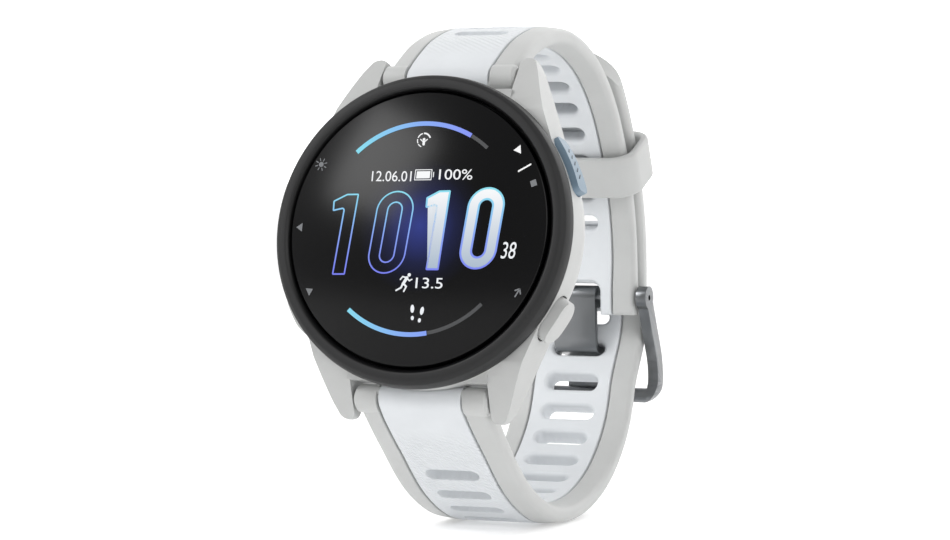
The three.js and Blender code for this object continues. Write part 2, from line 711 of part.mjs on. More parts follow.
// The frame's origin is under the middle of the watch, where it stands.
const bounds = new THREE.Box3().setFromObject(watch, true);
watch.position.set(0, -(bounds.min.y + bounds.max.y) / 2, -bounds.min.z);

const part = new THREE.Group();
part.add(watch);
export default part;
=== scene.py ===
"""Looks of a round running watch on a two-colour silicone strap, buckled into a loop."""
import json
import math

import bpy
from mathutils import Matrix, Vector


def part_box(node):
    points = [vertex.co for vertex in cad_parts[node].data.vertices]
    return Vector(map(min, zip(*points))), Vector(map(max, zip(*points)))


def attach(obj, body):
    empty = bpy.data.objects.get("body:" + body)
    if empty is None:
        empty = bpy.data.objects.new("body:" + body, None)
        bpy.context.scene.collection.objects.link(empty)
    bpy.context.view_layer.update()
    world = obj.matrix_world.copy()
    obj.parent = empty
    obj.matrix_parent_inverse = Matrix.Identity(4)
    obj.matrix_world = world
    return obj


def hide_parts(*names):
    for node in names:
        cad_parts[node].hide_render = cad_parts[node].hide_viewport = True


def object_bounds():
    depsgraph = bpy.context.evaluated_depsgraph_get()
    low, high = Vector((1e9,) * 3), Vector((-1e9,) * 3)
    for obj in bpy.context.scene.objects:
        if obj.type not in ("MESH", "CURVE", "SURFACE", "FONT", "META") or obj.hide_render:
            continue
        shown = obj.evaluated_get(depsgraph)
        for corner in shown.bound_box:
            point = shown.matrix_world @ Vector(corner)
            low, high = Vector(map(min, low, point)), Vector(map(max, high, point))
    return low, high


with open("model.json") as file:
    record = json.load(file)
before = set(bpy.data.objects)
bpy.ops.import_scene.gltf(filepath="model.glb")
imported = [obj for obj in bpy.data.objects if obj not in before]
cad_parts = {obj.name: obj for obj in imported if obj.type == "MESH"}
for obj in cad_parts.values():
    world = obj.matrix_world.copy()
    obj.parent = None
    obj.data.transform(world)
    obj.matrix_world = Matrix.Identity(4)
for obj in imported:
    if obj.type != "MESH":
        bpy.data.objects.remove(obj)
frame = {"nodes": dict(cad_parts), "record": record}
cad_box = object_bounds()

MM = 0.001  # pieces are shaped in millimetres and brought to metres as they are put in place
ROUND = 160  # facets round the head
DOUBLES_WITHIN = 0.004  # vertices nearer than this are one
THINNEST = 0.0015  # radius that stands for a point on a turned piece's axis
PAST_ALL = 30  # a cut that has to pass through everything reaches this far
X_AXIS = Vector((1, 0, 0))

# ------------------------------------------------------------------ where the head is
mounts = {m["name"]: m for m in frame["record"]["mounts"]}
GLASS = Vector(mounts["lens_face"]["pos_m"])
FACE_OUT = Vector(mounts["lens_face"]["axis"]).normalized()
FACE_UP = FACE_OUT.cross(X_AXIS).normalized()


def frame_of(origin, x, y, z):
    """A matrix from millimetres in a piece's own axes to its place in metres."""
    turn = Matrix((x, y, z)).transposed().to_4x4()
    return Matrix.Translation(origin) @ turn @ Matrix.Scale(MM, 4)


HEAD = frame_of(GLASS, X_AXIS, FACE_UP, FACE_OUT)
# Lays an outline's own x and y across and up, so that it is pulled along X.
PULLED_ALONG_X = Matrix(((0, 0, 1, 0), (1, 0, 0, 0), (0, 1, 0, 0), (0, 0, 0, 1)))


# ------------------------------------------------------------------ hand tools
def alone(piece):
    """Leaves only this piece selected and active."""
    bpy.ops.object.select_all(action="DESELECT")
    piece.select_set(True)
    bpy.context.view_layer.objects.active = piece
    return piece


def started(name):
    """Names the primitive that was just added, and leaves it alone."""
    piece = bpy.context.object
    piece.name = name
    piece.data.name = name
    return alone(piece)


def edit(piece, chosen=None):
    """Edit mode with the vertices that pass the test selected, or all of them."""
    alone(piece)
    for vertex in piece.data.vertices:
        vertex.select = chosen is None or chosen(vertex.co)
    for part in (*piece.data.edges, *piece.data.polygons):
        part.select = False
    bpy.ops.object.mode_set(mode="EDIT")
    bpy.ops.mesh.select_mode(type="VERT")
    if chosen is None:
        bpy.ops.mesh.select_all(action="SELECT")


def leave_edit():
    bpy.ops.object.mode_set(mode="OBJECT")


def mend(piece):
    """Merges doubles and turns the faces outwards."""
    edit(piece)
    bpy.ops.mesh.remove_doubles(threshold=DOUBLES_WITHIN)
    bpy.ops.mesh.normals_make_consistent(inside=False)
    leave_edit()


def apply_modifier(piece, kind, **settings):
    modifier = piece.modifiers.new(kind.title(), kind)
    for name, value in settings.items():
        setattr(modifier, name, value)
    alone(piece)
    bpy.ops.object.modifier_apply(modifier=modifier.name)


def soften(piece, width, segments=3, angle=32):
    """Rounds the edges sharper than the angle."""
    apply_modifier(piece, "BEVEL", width=width, segments=segments, limit_method="ANGLE",
                   angle_limit=math.radians(angle), miter_outer="MITER_ARC")


def combine(piece, other, operation):
    """A boolean with another piece, which is used up."""
    apply_modifier(piece, "BOOLEAN", operation=operation, solver="EXACT", object=other)
    bpy.data.objects.remove(other)
    return piece


def joined(name, pieces):
    bpy.ops.object.select_all(action="DESELECT")
    for piece in pieces:
        piece.select_set(True)
    bpy.context.view_layer.objects.active = pieces[0]
    if len(pieces) > 1:
        bpy.ops.object.join()
    return started(name)


def copied(piece, matrix):
    """A copy with its own mesh, moved by the matrix."""
    alone(piece)
    bpy.ops.object.duplicate()
    copy = bpy.context.object
    copy.data.transform(matrix)
    if matrix.determinant() < 0:
        mend(copy)
    return copy


def turned(name, profile, segments=ROUND):
    """A ring of vertices pulled from point to point of a (radius, z) profile."""
    points = [(max(r, THINNEST), z) for r, z in profile]
    radius, height = points[0]
    bpy.ops.object.select_all(action="DESELECT")
    bpy.ops.mesh.primitive_circle_add(vertices=segments, radius=radius)
    piece = started(name)
    edit(piece)
    bpy.ops.transform.translate(value=(0, 0, height))
    for next_radius, next_height in points[1:]:
        share = next_radius / radius
        bpy.ops.mesh.extrude_region()
        bpy.ops.transform.translate(value=(0, 0, next_height - height))
        bpy.ops.transform.resize(value=(share, share, 1), center_override=(0, 0, next_height))
        radius, height = next_radius, next_height
    leave_edit()
    mend(piece)
    return piece


def pulled_apart(piece, half_x, half_y):
    """Moves the four quarters of a turned piece outwards, so that round becomes oblong."""
    for axis, shift in ((0, half_x), (1, half_y)):
        if shift:
            for side in (1, -1):
                edit(piece, lambda co: co[axis] * side > 0)
                step = [0, 0, 0]
                step[axis] = side * shift
                bpy.ops.transform.translate(value=step)
                leave_edit()
    return piece


def rounded(corners, steps=5):
    """Corners as (x, y) or (x, y, radius) to an outline with its corners rounded."""
    outline = []
    count = len(corners)
    for i, corner in enumerate(corners):
        here = Vector(corner[:2])
        radius = corner[2] if len(corner) > 2 else 0
        if not radius:
            outline.append(tuple(here))
            continue
        to_last = (Vector(corners[i - 1][:2]) - here).normalized()
        to_next = (Vector(corners[(i + 1) % count][:2]) - here).normalized()
        half = to_last.angle(to_next) / 2
        reach = radius / math.tan(half)
        middle = here + (to_last + to_next).normalized() * (radius / math.sin(half))
        first = here + to_last * reach - middle
        last = here + to_next * reach - middle
        for k in range(steps + 1):
            share = k / steps
            arm = first.slerp(last, share) * radius
            outline.append(tuple(middle + arm))
    return outline


def flat_face(name, outline):
    """A filled circle whose vertices are moved on to an outline in XY."""
    bpy.ops.object.select_all(action="DESELECT")
    bpy.ops.mesh.primitive_circle_add(vertices=len(outline), radius=1, fill_type="NGON")
    piece = started(name)
    for vertex, (x, y) in zip(piece.data.vertices, outline):
        vertex.co = (x, y, 0)
    return piece


def prism(name, outline, low, high, axes=None):
    """An outline pulled from z = low to z = high, then turned to other axes."""
    piece = flat_face(name, outline)
    edit(piece)
    bpy.ops.transform.translate(value=(0, 0, low))
    bpy.ops.mesh.extrude_region()
    bpy.ops.transform.translate(value=(0, 0, high - low))
    leave_edit()
    if axes:
        piece.data.transform(axes)
    mend(piece)
    return piece


def placed(piece, matrix, smooth=32):
    """Brings a finished piece to its place in metres and shades it."""
    piece.data.transform(matrix)
    alone(piece)
    bpy.ops.object.shade_smooth_by_angle(angle=math.radians(smooth))
    return piece


def dress(piece, material, body="watch", stands_for=()):
    """Gives a piece its material and its body, and hides the nodes that it stands for."""
    if not piece.data.materials:
        piece.data.materials.append(material)
    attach(piece, body)
    if stands_for:
        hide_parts(*stands_for)
    return piece


# ------------------------------------------------------------------ materials
def colour(code):
    """An sRGB hex code as a linear colour."""
    parts = [int(code[i:i + 2], 16) / 255 for i in (1, 3, 5)]
    return (*[c / 12.92 if c <= 0.04045 else ((c + 0.055) / 1.055) ** 2.4 for c in parts], 1)


def add_node(tree, kind, values=None, links=None, **settings):
    """One node with its settings, its input values and the sockets that feed it."""
    node = tree.nodes.new(kind)
    for name, value in settings.items():
        setattr(node, name, value)
    for name, value in (values or {}).items():
        node.inputs[name].default_value = value
    for name, socket in (links or {}).items():
        tree.links.new(socket, node.inputs[name])
    return node


def new_material(name, base, roughness, metallic=0.0, **values):
    """A material with one shader; values are its other sockets."""
    material = bpy.data.materials.new(name)
    material.use_nodes = True
    tree = material.node_tree
    shader = tree.nodes["Principled BSDF"]
    shader.inputs["Base Color"].default_value = colour(base)
    shader.inputs["Roughness"].default_value = roughness
    shader.inputs["Metallic"].default_value = metallic
    for socket, value in values.items():
        shader.inputs[socket.replace("_", " ")].default_value = value
    return material, tree, shader


CLOUD_MM = 5.0  # the size of the faint changes of colour
CLOUD_DARK, CLOUD_LIGHT = 0.93, 1.05  # and how far they go, as shares of the colour


def grain(tree, shader, size_mm, height_mm, stretch=(1, 1, 1)):
    """Fine relief of a size in millimetres, and a faint cloudiness of the colour."""
    place = add_node(tree, "ShaderNodeTexCoord")
    sized = add_node(tree, "ShaderNodeMapping", {"Scale": stretch},
                     {"Vector": place.outputs["Object"]})
    noise = add_node(tree, "ShaderNodeTexNoise",
                     {"Scale": 1 / (size_mm * MM), "Detail": 2.0, "Roughness": 0.6},
                     {"Vector": sized.outputs["Vector"]})
    bump = add_node(tree, "ShaderNodeBump", {"Strength": 1.0, "Distance": height_mm * MM},
                    {"Height": noise.outputs["Fac"]})
    tree.links.new(bump.outputs["Normal"], shader.inputs["Normal"])
    cloud = add_node(tree, "ShaderNodeTexNoise",
                     {"Scale": 1 / (CLOUD_MM * MM), "Detail": 3.0, "Roughness": 0.55},
                     {"Vector": place.outputs["Object"]})
    share = add_node(tree, "ShaderNodeMapRange", {"To Min": CLOUD_DARK, "To Max": CLOUD_LIGHT},
                     {"Value": cloud.outputs["Fac"]})
    base = tuple(shader.inputs["Base Color"].default_value)[:3]
    tinted = add_node(tree, "ShaderNodeVectorMath", {0: base}, {"Scale": share.outputs["Result"]},
                      operation="SCALE")
    tree.links.new(tinted.outputs["Vector"], shader.inputs["Base Color"])
    return noise, bump


def plain_finish(name, base, roughness, metallic=0.0, size_mm=0.25, height_mm=0.01, **values):
    material, tree, shader = new_material(name, base, roughness, metallic, **values)
    grain(tree, shader, size_mm, height_mm)
    return material


# Moulded grey silicone: soft, even and matte, with a faint velvet grain of about 0.2 mm.
grey_silicone = plain_finish("silicone_moulded_grey", "#bebfbe", 0.5, size_mm=0.2,
                             height_mm=0.006, IOR=1.41, Sheen_Weight=0.08)


MAP_MM = 200.0  # the strap's map is millimetres over this
WAVE_PERIOD = math.tau / 20  # a band texture at scale 1 repeats in this
RIB_PITCH = 0.7  # the real ribs are about 0.5 mm apart, too fine to show
RIB_ANGLE = 37  # degrees from square across the strap
RIB_HEIGHT = 0.08


def ribbed_silicone():
    """Moulded white silicone, soft and matte: diagonal ribs on its outside, fading in at the lug.

    The piece's map gives the place along and across the flat strap, and an attribute says how
    deep the ribs are.
    """
    material, tree, shader = new_material("silicone_moulded_white", "#d8dbde", 0.56, IOR=1.41,
                                          Sheen_Weight=0.08)
    _, bump = grain(tree, shader, 0.2, 0.002)
    place = add_node(tree, "ShaderNodeUVMap", uv_map="strap_map")
    ribs = add_node(tree, "ShaderNodeTexWave",
                    {"Scale": MAP_MM * WAVE_PERIOD / RIB_PITCH, "Distortion": 0.0},
                    {"Vector": add_node(tree, "ShaderNodeMapping",
                                        {"Rotation": (0, 0, math.radians(RIB_ANGLE))},
                                        {"Vector": place.outputs["UV"]}).outputs["Vector"]},
                    wave_type="BANDS", bands_direction="X", wave_profile="SIN")
    depth = add_node(tree, "ShaderNodeAttribute", attribute_name="rib_depth")
    height = add_node(tree, "ShaderNodeMath", {},
                      {0: ribs.outputs["Fac"], 1: depth.outputs["Fac"]}, operation="MULTIPLY")
    relief = add_node(tree, "ShaderNodeBump", {"Strength": 1.0, "Distance": RIB_HEIGHT * MM},
                      {"Height": height.outputs["Value"], "Normal": bump.outputs["Normal"]})
    tree.links.new(relief.outputs["Normal"], shader.inputs["Normal"])
    return material


white_silicone = ribbed_silicone()

# Fibre-filled polymer, spark-eroded tool: dead matte black with a visible 0.14 mm grain.
bezel_polymer = plain_finish("polymer_eroded_black", "#171718", 0.55, size_mm=0.14,
                             height_mm=0.014, IOR=1.5, Specular_IOR_Level=0.4)
# The same polymer from a polished part of the tool.
bezel_polished = plain_finish("polymer_polished_black", "#0b0b0c", 0.35, size_mm=0.3,
                              height_mm=0.002, IOR=1.5, Specular_IOR_Level=0.3)
# Light grey polymer, lightly textured tool: matte with a grain of about 0.13 mm.
case_polymer = plain_finish("polymer_moulded_grey", "#bbbcbb", 0.45, size_mm=0.13,
                            height_mm=0.007, IOR=1.5)
# Blue-grey polymer, smooth tool: a soft satin.
button_polymer = plain_finish("polymer_moulded_blue_grey", "#74899a", 0.42, size_mm=0.15,
                              height_mm=0.003, IOR=1.5)
# The same polymer dyed darker, for the ridges on the start button.
ridge_polymer = plain_finish("polymer_moulded_dark_blue", "#33414c", 0.5, size_mm=0.15,
                             height_mm=0.003, IOR=1.5)


def brushed_steel(name, base, roughness):
    """Brushed steel: hair lines 0.05 mm apart that run across the strap, drawn at 0.1 mm."""
    material, tree, shader = new_material(name, base, roughness, 1.0)
    noise, _ = grain(tree, shader, 0.1, 0.0035, stretch=(0.03, 1, 1))
    ramp = add_node(tree, "ShaderNodeMapRange",
                    {"To Min": roughness - 0.06, "To Max": roughness + 0.08},
                    {"Value": noise.outputs["Fac"]})
    tree.links.new(ramp.outputs["Result"], shader.inputs["Roughness"])
    return material


gunmetal = brushed_steel("steel_brushed_gunmetal", "#7c7e80", 0.3)
bright_steel = brushed_steel("steel_turned_bright", "#bfc1c3", 0.26)


def glass_place(tree):
    """Place on the glass: the vector from its middle, in metres."""
    place = add_node(tree, "ShaderNodeTexCoord")
    return add_node(tree, "ShaderNodeVectorMath", {1: tuple(GLASS)},
                    {0: place.outputs["Object"]}, operation="SUBTRACT").outputs["Vector"]


def climb(tree, low_mm, high_mm):
    """0 to 1 up the face between two heights in millimetres."""
    up = add_node(tree, "ShaderNodeVectorMath", {1: tuple(FACE_UP)}, {0: glass_place(tree)},
                  operation="DOT_PRODUCT")
    return add_node(tree, "ShaderNodeMapRange",
                    {"From Min": low_mm * MM, "From Max": high_mm * MM},
                    {"Value": up.outputs["Value"]}).outputs["Result"]


def ramp_of(tree, factor, stops):
    ramp = add_node(tree, "ShaderNodeValToRGB", {}, {"Fac": factor})
    while len(ramp.color_ramp.elements) < len(stops):
        ramp.color_ramp.elements.new(0.5)
    for element, (place, code) in zip(ramp.color_ramp.elements, stops):
        element.position = place
        element.color = colour(code)
    return ramp.outputs["Color"]


GLOW_MIDDLE = X_AXIS * 0.4 + FACE_UP * 0.4  # mm from the middle of the glass
GLOW_REACH = 9.2
GLOW = [(0.0, "#2e3a86"), (0.22, "#273070"), (0.55, "#151a3e"), (0.8, "#06081a"), (1.0, "#000000")]


def cover_glass():
    """Glass with an anti-reflection coat over a black display, with the display's blue glow."""
    material, tree, shader = new_material("glass_coated_over_display", "#020203", 0.24,
                                          IOR=1.5, Specular_IOR_Level=0.2,
                                          Emission_Strength=1.0)
    away = add_node(tree, "ShaderNodeVectorMath", {1: tuple(GLOW_MIDDLE * MM)},
                    {0: glass_place(tree)}, operation="SUBTRACT")
    reach = add_node(tree, "ShaderNodeVectorMath", {}, {0: away.outputs["Vector"]},
                     operation="LENGTH")
    share = add_node(tree, "ShaderNodeMapRange", {"From Min": 0.0, "From Max": GLOW_REACH * MM},
                     {"Value": reach.outputs["Value"]})
    glow = ramp_of(tree, share.outputs["Result"], GLOW)
    tree.links.new(glow, shader.inputs["Emission Color"])
    return material


def lit_mark(name, stops, low_mm=-14.5, high_mm=14.5):
    """Light from the display, coloured between two heights on the face."""
    material, tree, shader = new_material(name, "#000000", 0.5, Emission_Strength=1.0)
    light = ramp_of(tree, climb(tree, low_mm, high_mm), stops)
    tree.links.new(light, shader.inputs["Emission Color"])
    return material


lens_glass = cover_glass()
outline_light = lit_mark("display_light_outline", [(0.0, "#6f76ee"), (0.45, "#7f9cf0"),
                                                   (1.0, "#86dcec")], -6.4, 5.4)
digit_light = lit_mark("display_light_digit", [(0.0, "#a3b4c6"), (0.6, "#d3dae2"),
                                               (1.0, "#f2f3f5")], -5.4, 5.2)
white_light = lit_mark("display_light_white", [(0.0, "#e9edf2"), (1.0, "#f4f5f6")])


def sweep_light():
    """Display light of the two gauges: cyan at the left, periwinkle at the right."""
    material, tree, shader = new_material("display_light_gauge", "#000000", 0.5,
                                          Emission_Strength=1.0)
    across = add_node(tree, "ShaderNodeSeparateXYZ", {}, {"Vector": glass_place(tree)})
    share = add_node(tree, "ShaderNodeMapRange", {"From Min": -10 * MM, "From Max": 7 * MM},
                     {"Value": across.outputs["X"]})
    light = ramp_of(tree, share.outputs["Result"], [(0.0, "#7fd8ea"), (0.55, "#7fa6f0"),
                                                    (1.0, "#7d8cf2")])
    tree.links.new(light, shader.inputs["Emission Color"])
    return material


gauge_light = sweep_light()
# Printed ink, dull and even: the unlit rest of a gauge, and the marks by the buttons.
dim_paint = plain_finish("ink_printed_dark_grey", "#3b3c3e", 0.6, height_mm=0.001)
mark_paint = plain_finish("ink_printed_grey", "#6d6f72", 0.6, height_mm=0.001)
bright_paint = plain_finish("ink_printed_white", "#e8e8e8", 0.6, height_mm=0.001)

# Inner pieces and small hardware.
# Moulded rubber: black and dead matte.
rubber = plain_finish("rubber_moulded_black", "#161617", 0.8, size_mm=0.3, height_mm=0.01)
# Moulded polymer: nearly black and matte, with a fine grain.
inner_polymer = plain_finish("polymer_moulded_black", "#26272a", 0.6, size_mm=0.3,
                             height_mm=0.008, IOR=1.5)
# Laminated display: smooth and black, with a clean gloss.
display_glass = plain_finish("display_laminated_black", "#08080c", 0.15, height_mm=0.0005)
# Board laminate under a solder mask: a green satin.
board_laminate = plain_finish("laminate_masked_green", "#1b5236", 0.4, size_mm=0.5,
                              height_mm=0.004, IOR=1.5)
# Pressed aluminium foil: pale, dull metal with soft creases.
foil_pouch = plain_finish("foil_pressed_aluminium", "#b7babf", 0.38, 0.9, size_mm=0.8,
                          height_mm=0.02)
# Gold plate on turned brass: warm and bright.
contact_gold = plain_finish("brass_gold_plated", "#d9b45a", 0.25, 1.0, size_mm=0.3,
                            height_mm=0.001)
# Blackened steel: dark, with a dull shine.
screw_steel = plain_finish("steel_blackened", "#46484b", 0.35, 1.0, size_mm=0.3,
                           height_mm=0.002)
# Polished polycarbonate: black and glossy.
sensor_glass = plain_finish("polycarbonate_polished_black", "#0a0a0c", 0.1, height_mm=0.0004,
                            IOR=1.58)

# ------------------------------------------------------------------ the head
# Distances from the head's axis, and heights from the top of the glass.
LENS_RADIUS = 18.85
BEZEL_RADIUS = 21.5
BEZEL_LEDGE = 17.4  # inner edge of the ledge under the glass
BEZEL_OPENING = 19.12
BEZEL_POLISHED = 19.66  # the slope down to the glass is polished, out to here
BEZEL_SEAT, BEZEL_BOTTOM = -2.1, -3.1
CASE_RADIUS = 21.25
CASE_TOP = -3.4
CASE_BOTTOM = -9.4
CASE_BORE = 15.2  # radius of the way in from the back
CASE_ROOM = 18.9  # radius of the room for the works
CASE_FLOOR = -7.8
BACK_TOP, BACK_BOTTOM = -9.7, -11.0
LUG_INNER = 10.15
LUG_REACH = 25.2
LUG_MEETS_CASE = 0.62  # the angle, in radians, where a lug's outer side leaves the case
BAR_REACH = 22.3
BAR_DEPTH = -7.2
ROLL = 1.95  # radius of a strap's round end
ROLL_GAP = 0.15


def make_bezel():
    piece = turned("bezel_ring", [
        (BEZEL_LEDGE, BEZEL_SEAT), (BEZEL_OPENING, BEZEL_SEAT), (BEZEL_OPENING, -0.62),
        (19.72, 0.1), (20.7, 0.04), (21.28, -0.5), (BEZEL_RADIUS, -1.5), (BEZEL_RADIUS, -2.8),
        (21.25, BEZEL_BOTTOM), (BEZEL_LEDGE, BEZEL_BOTTOM), (BEZEL_LEDGE, BEZEL_SEAT)])
    soften(piece, 0.14, 2, 15)
    placed(piece, HEAD)
    piece.data.materials.append(bezel_polymer)
    piece.data.materials.append(bezel_polished)
    to_head = HEAD.inverted()
    for face in piece.data.polygons:
        here = to_head @ face.center
        if math.hypot(here.x, here.y) < BEZEL_POLISHED:
            face.material_index = 1
    dress(piece, bezel_polymer, stands_for=["bezel"])


def make_lens():
    piece = turned("front_glass", [
        (0, -1.2), (LENS_RADIUS, -1.2), (LENS_RADIUS, -0.2), (LENS_RADIUS - 0.2, 0), (0, 0)])
    placed(piece, HEAD, 60)
    dress(piece, lens_glass, stands_for=["lens"])


def bow(start, middle, end):
    """A curve in eight steps that leaves towards the middle point and arrives from it."""
    first, second, third = Vector(start), Vector(middle), Vector(end)
    shares = [k / 8 for k in range(9)]
    return [tuple(first.lerp(second, t).lerp(second.lerp(third, t), t)) for t in shares]


def lug_piece():
    """One lug: its outline from above, cut to its outline from the side."""
    on_case = Vector((math.cos(LUG_MEETS_CASE), math.sin(LUG_MEETS_CASE))) * CASE_RADIUS
    plan = [(LUG_INNER, 13), (LUG_INNER, LUG_REACH, 0.8), (LUG_INNER + 1.9, LUG_REACH, 1.2),
            (LUG_INNER + 3, LUG_REACH - 2.2, 1.0), tuple(on_case), (15, 8)]
    lug = prism("lug", rounded(plan, 6), CASE_BOTTOM - 1, CASE_TOP + 1)
    shoulder = (LUG_REACH + 0.1, -7.5)
    side = [(8, CASE_TOP), *bow((CASE_RADIUS - 4, CASE_TOP), (LUG_REACH - 4, CASE_TOP - 1.4),
                                shoulder),
            *bow(shoulder, (LUG_REACH + 0.2, -8.9), (LUG_REACH - 2, -9.2))[1:],
            (19, CASE_BOTTOM), (8, CASE_BOTTOM)]
    combine(lug, prism("lug_side", side, 0, PAST_ALL, PULLED_ALONG_X), "INTERSECT")
    return lug


# Each button's angle on the case, its length and its height.
BUTTONS = {"start": (27.5, 8.4, 3.4), "back": (-31, 6.4, 4.0), "light": (150, 6.4, 4.0),
           "up": (180, 6.4, 4.0), "down": (210, 6.4, 4.0)}
BUTTON_DEPTH = -6.0
CAP_OUTER = 22.15
CAP_INNER = 20.7
CAP_TRAVEL = 1.05  # room behind a cap for its press
CAP_DOME = 0.55  # how much further the small caps stand out
CAP_GAP = 0.5  # room round a cap, both sides together


def button_block(name, angle, length, height, low, high, radius):
    """A bar with rounded ends that stands out from the case at an angle."""
    half_l, half_h = length / 2, height / 2
    outline = rounded([(half_l, half_h, radius), (-half_l, half_h, radius),
                       (-half_l, -half_h, radius), (half_l, -half_h, radius)], 8)
    out = Matrix.Translation((0, 0, BUTTON_DEPTH)) @ PULLED_ALONG_X
    turn = Matrix.Rotation(math.radians(angle), 4, "Z")
    return prism(name, outline, low, high, turn @ out)


def make_case():
    piece = turned("case_body", [
        (CASE_BORE, CASE_BOTTOM), (20.4, CASE_BOTTOM), (21.0, -8.3), (CASE_RADIUS, -6.8),
        (CASE_RADIUS, CASE_TOP), (CASE_ROOM, CASE_TOP), (CASE_ROOM, CASE_FLOOR),
        (CASE_BORE, CASE_FLOOR), (CASE_BORE, CASE_BOTTOM)])
    lug = lug_piece()
    lugs = [copied(lug, Matrix.Diagonal((x, y, 1, 1))) for x in (1, -1) for y in (1, -1)]
    bpy.data.objects.remove(lug)
    for one in lugs:
        combine(piece, one, "UNION")
    shoulder = [(-10.3, -20.15), (10.3, -20.15), (10.3, 20.15), (-10.3, 20.15)]
    combine(piece, prism("shoulder", shoulder, CASE_BOTTOM + 0.3, CASE_TOP - 0.6), "UNION")
    for y in (BAR_REACH, -BAR_REACH):
        room = turned("roll_room", [(0, -LUG_INNER), (ROLL + ROLL_GAP, -LUG_INNER),
                                    (ROLL + ROLL_GAP, LUG_INNER), (0, LUG_INNER)], 64)
        room.data.transform(Matrix.Translation((0, y, BAR_DEPTH)) @
                            Matrix.Rotation(math.pi / 2, 4, "Y"))
        combine(piece, room, "DIFFERENCE")
    combine(piece, turned("case_bore", [(0, -12), (CASE_BORE, -12), (CASE_BORE, -7), (0, -7)]),
            "DIFFERENCE")
    combine(piece, turned("case_room", [(0, CASE_FLOOR), (CASE_ROOM, CASE_FLOOR),
                                        (CASE_ROOM, -1), (0, -1)]), "DIFFERENCE")
    for angle, length, height in BUTTONS.values():
        room = button_block("room", angle, length + CAP_GAP, height + CAP_GAP,
                            CAP_INNER - CAP_TRAVEL, 26, height / 2 + 0.24)
        combine(piece, room, "DIFFERENCE")
    soften(piece, 0.4, 3, 40)
    placed(piece, HEAD, 40)
    dress(piece, case_polymer, stands_for=["mid_case"])


def make_buttons():
    for name, (angle, length, height) in BUTTONS.items():
        is_start = name == "start"
        proud = CAP_OUTER if is_start else CAP_OUTER + CAP_DOME
        skin = turned("skin", [(CAP_INNER, -11), (proud, -11), (proud, -1),
                               (CAP_INNER, -1), (CAP_INNER, -11)])
        block = button_block(name + "_cap", angle, length, height, 15, 27,
                             0.9 if is_start else height / 2 - 0.01)
        combine(block, skin, "INTERSECT")
        soften(block, 0.75 if is_start else 1.1, 1 if is_start else 6, 50)
        placed(block, HEAD, 25 if is_start else 40)
        material = button_polymer if is_start else case_polymer
        dress(block, material, name + "_button", [name + "_button"])
    make_ridges()


RIDGE_SIZE = (0.1, 0.2, 1.15)
RIDGE_LEAN = 38
RIDGE_STEP = 2.6  # degrees round the case from one ridge to the next


def make_ridges():
    """Five slanted grip ridges on the start button."""
    angle = BUTTONS["start"][0]
    ridges = []
    for i in range(-2, 3):
        bpy.ops.object.select_all(action="DESELECT")
        bpy.ops.mesh.primitive_cube_add(size=1)
        ridge = started("ridge")
        edit(ridge)
        bpy.ops.transform.resize(value=RIDGE_SIZE)
        leave_edit()
        soften(ridge, 0.04, 2)
        lean = Matrix.Rotation(math.radians(RIDGE_LEAN), 4, "X")
        around = Matrix.Rotation(math.radians(angle + i * RIDGE_STEP), 4, "Z")
        ridge.data.transform(
            around @ Matrix.Translation((CAP_OUTER + 0.01, 0, BUTTON_DEPTH)) @ lean)
        ridges.append(ridge)
    piece = placed(joined("start_ridges", ridges), HEAD)
    dress(piece, ridge_polymer, "start_button")


WINDOW_HOLE = 5.5
SCREW_CIRCLE = 17.5
SCREW_HOLE = 1.25
CONTACTS = (-3.6, -1.2, 1.2, 3.6)
CONTACT_PLACE = -10.6
CONTACT_HOLE = 0.85


def back_hole(radius, x, y):
    hole = turned("hole", [(0, -12), (radius, -12), (radius, -9), (0, -9)], 32)
    hole.data.transform(Matrix.Translation((x, y, 0)))
    return hole


def make_back():
    piece = turned("back_plate", [
        (WINDOW_HOLE, BACK_TOP), (19.6, BACK_TOP), (19.55, -10.1), (19.0, BACK_BOTTOM),
        (WINDOW_HOLE, BACK_BOTTOM), (WINDOW_HOLE, BACK_TOP)])
    turns = [math.pi / 4 + i * math.pi / 2 for i in range(4)]
    holes = [back_hole(SCREW_HOLE, SCREW_CIRCLE * math.cos(turn), SCREW_CIRCLE * math.sin(turn))
             for turn in turns]
    holes += [back_hole(CONTACT_HOLE, x, CONTACT_PLACE) for x in CONTACTS]
    combine(piece, joined("holes", holes), "DIFFERENCE")
    socket = prism("socket", rounded([(5.2, 1.5, 1.2), (-5.2, 1.5, 1.2), (-5.2, -1.5, 1.2),
                                      (5.2, -1.5, 1.2)]), -12, -10.6)
    socket.data.transform(Matrix.Translation((0, CONTACT_PLACE, 0)))
    combine(piece, socket, "DIFFERENCE")
    soften(piece, 0.15, 3, 35)
    placed(piece, HEAD)
    dress(piece, case_polymer, stands_for=["back_cover"])
    window = turned("sensor_dome", [(0, BACK_TOP), (5.2, BACK_TOP), (5.2, -11.25), (4.9, -11.5),
                                    (4.4, -11.6), (0, -11.6)])
    placed(window, HEAD, 60)
    dress(window, sensor_glass, stands_for=["sensor_window"])


# ------------------------------------------------------------------ the display's drawing
# All marks are drawn in millimetres from the middle of the glass, x to the right and y up it.
LIFT = 0.012  # marks stand this far off the glass
INK = 0.015  # and are this thick
GAUGE_RADIUS = 14.45
RIM_RADIUS = 17.55
SLANT = Matrix(((1, 0.1, 0, 0), (0, 1, 0, 0), (0, 0, 1, 0), (0, 0, 0, 1)))


def thin(piece):
    """Gives flat faces the thickness of ink, just above the glass."""
    edit(piece)
    bpy.ops.transform.translate(value=(0, 0, LIFT))
    bpy.ops.mesh.extrude_region()
    bpy.ops.transform.translate(value=(0, 0, INK))
    leave_edit()
    mend(piece)
    return piece


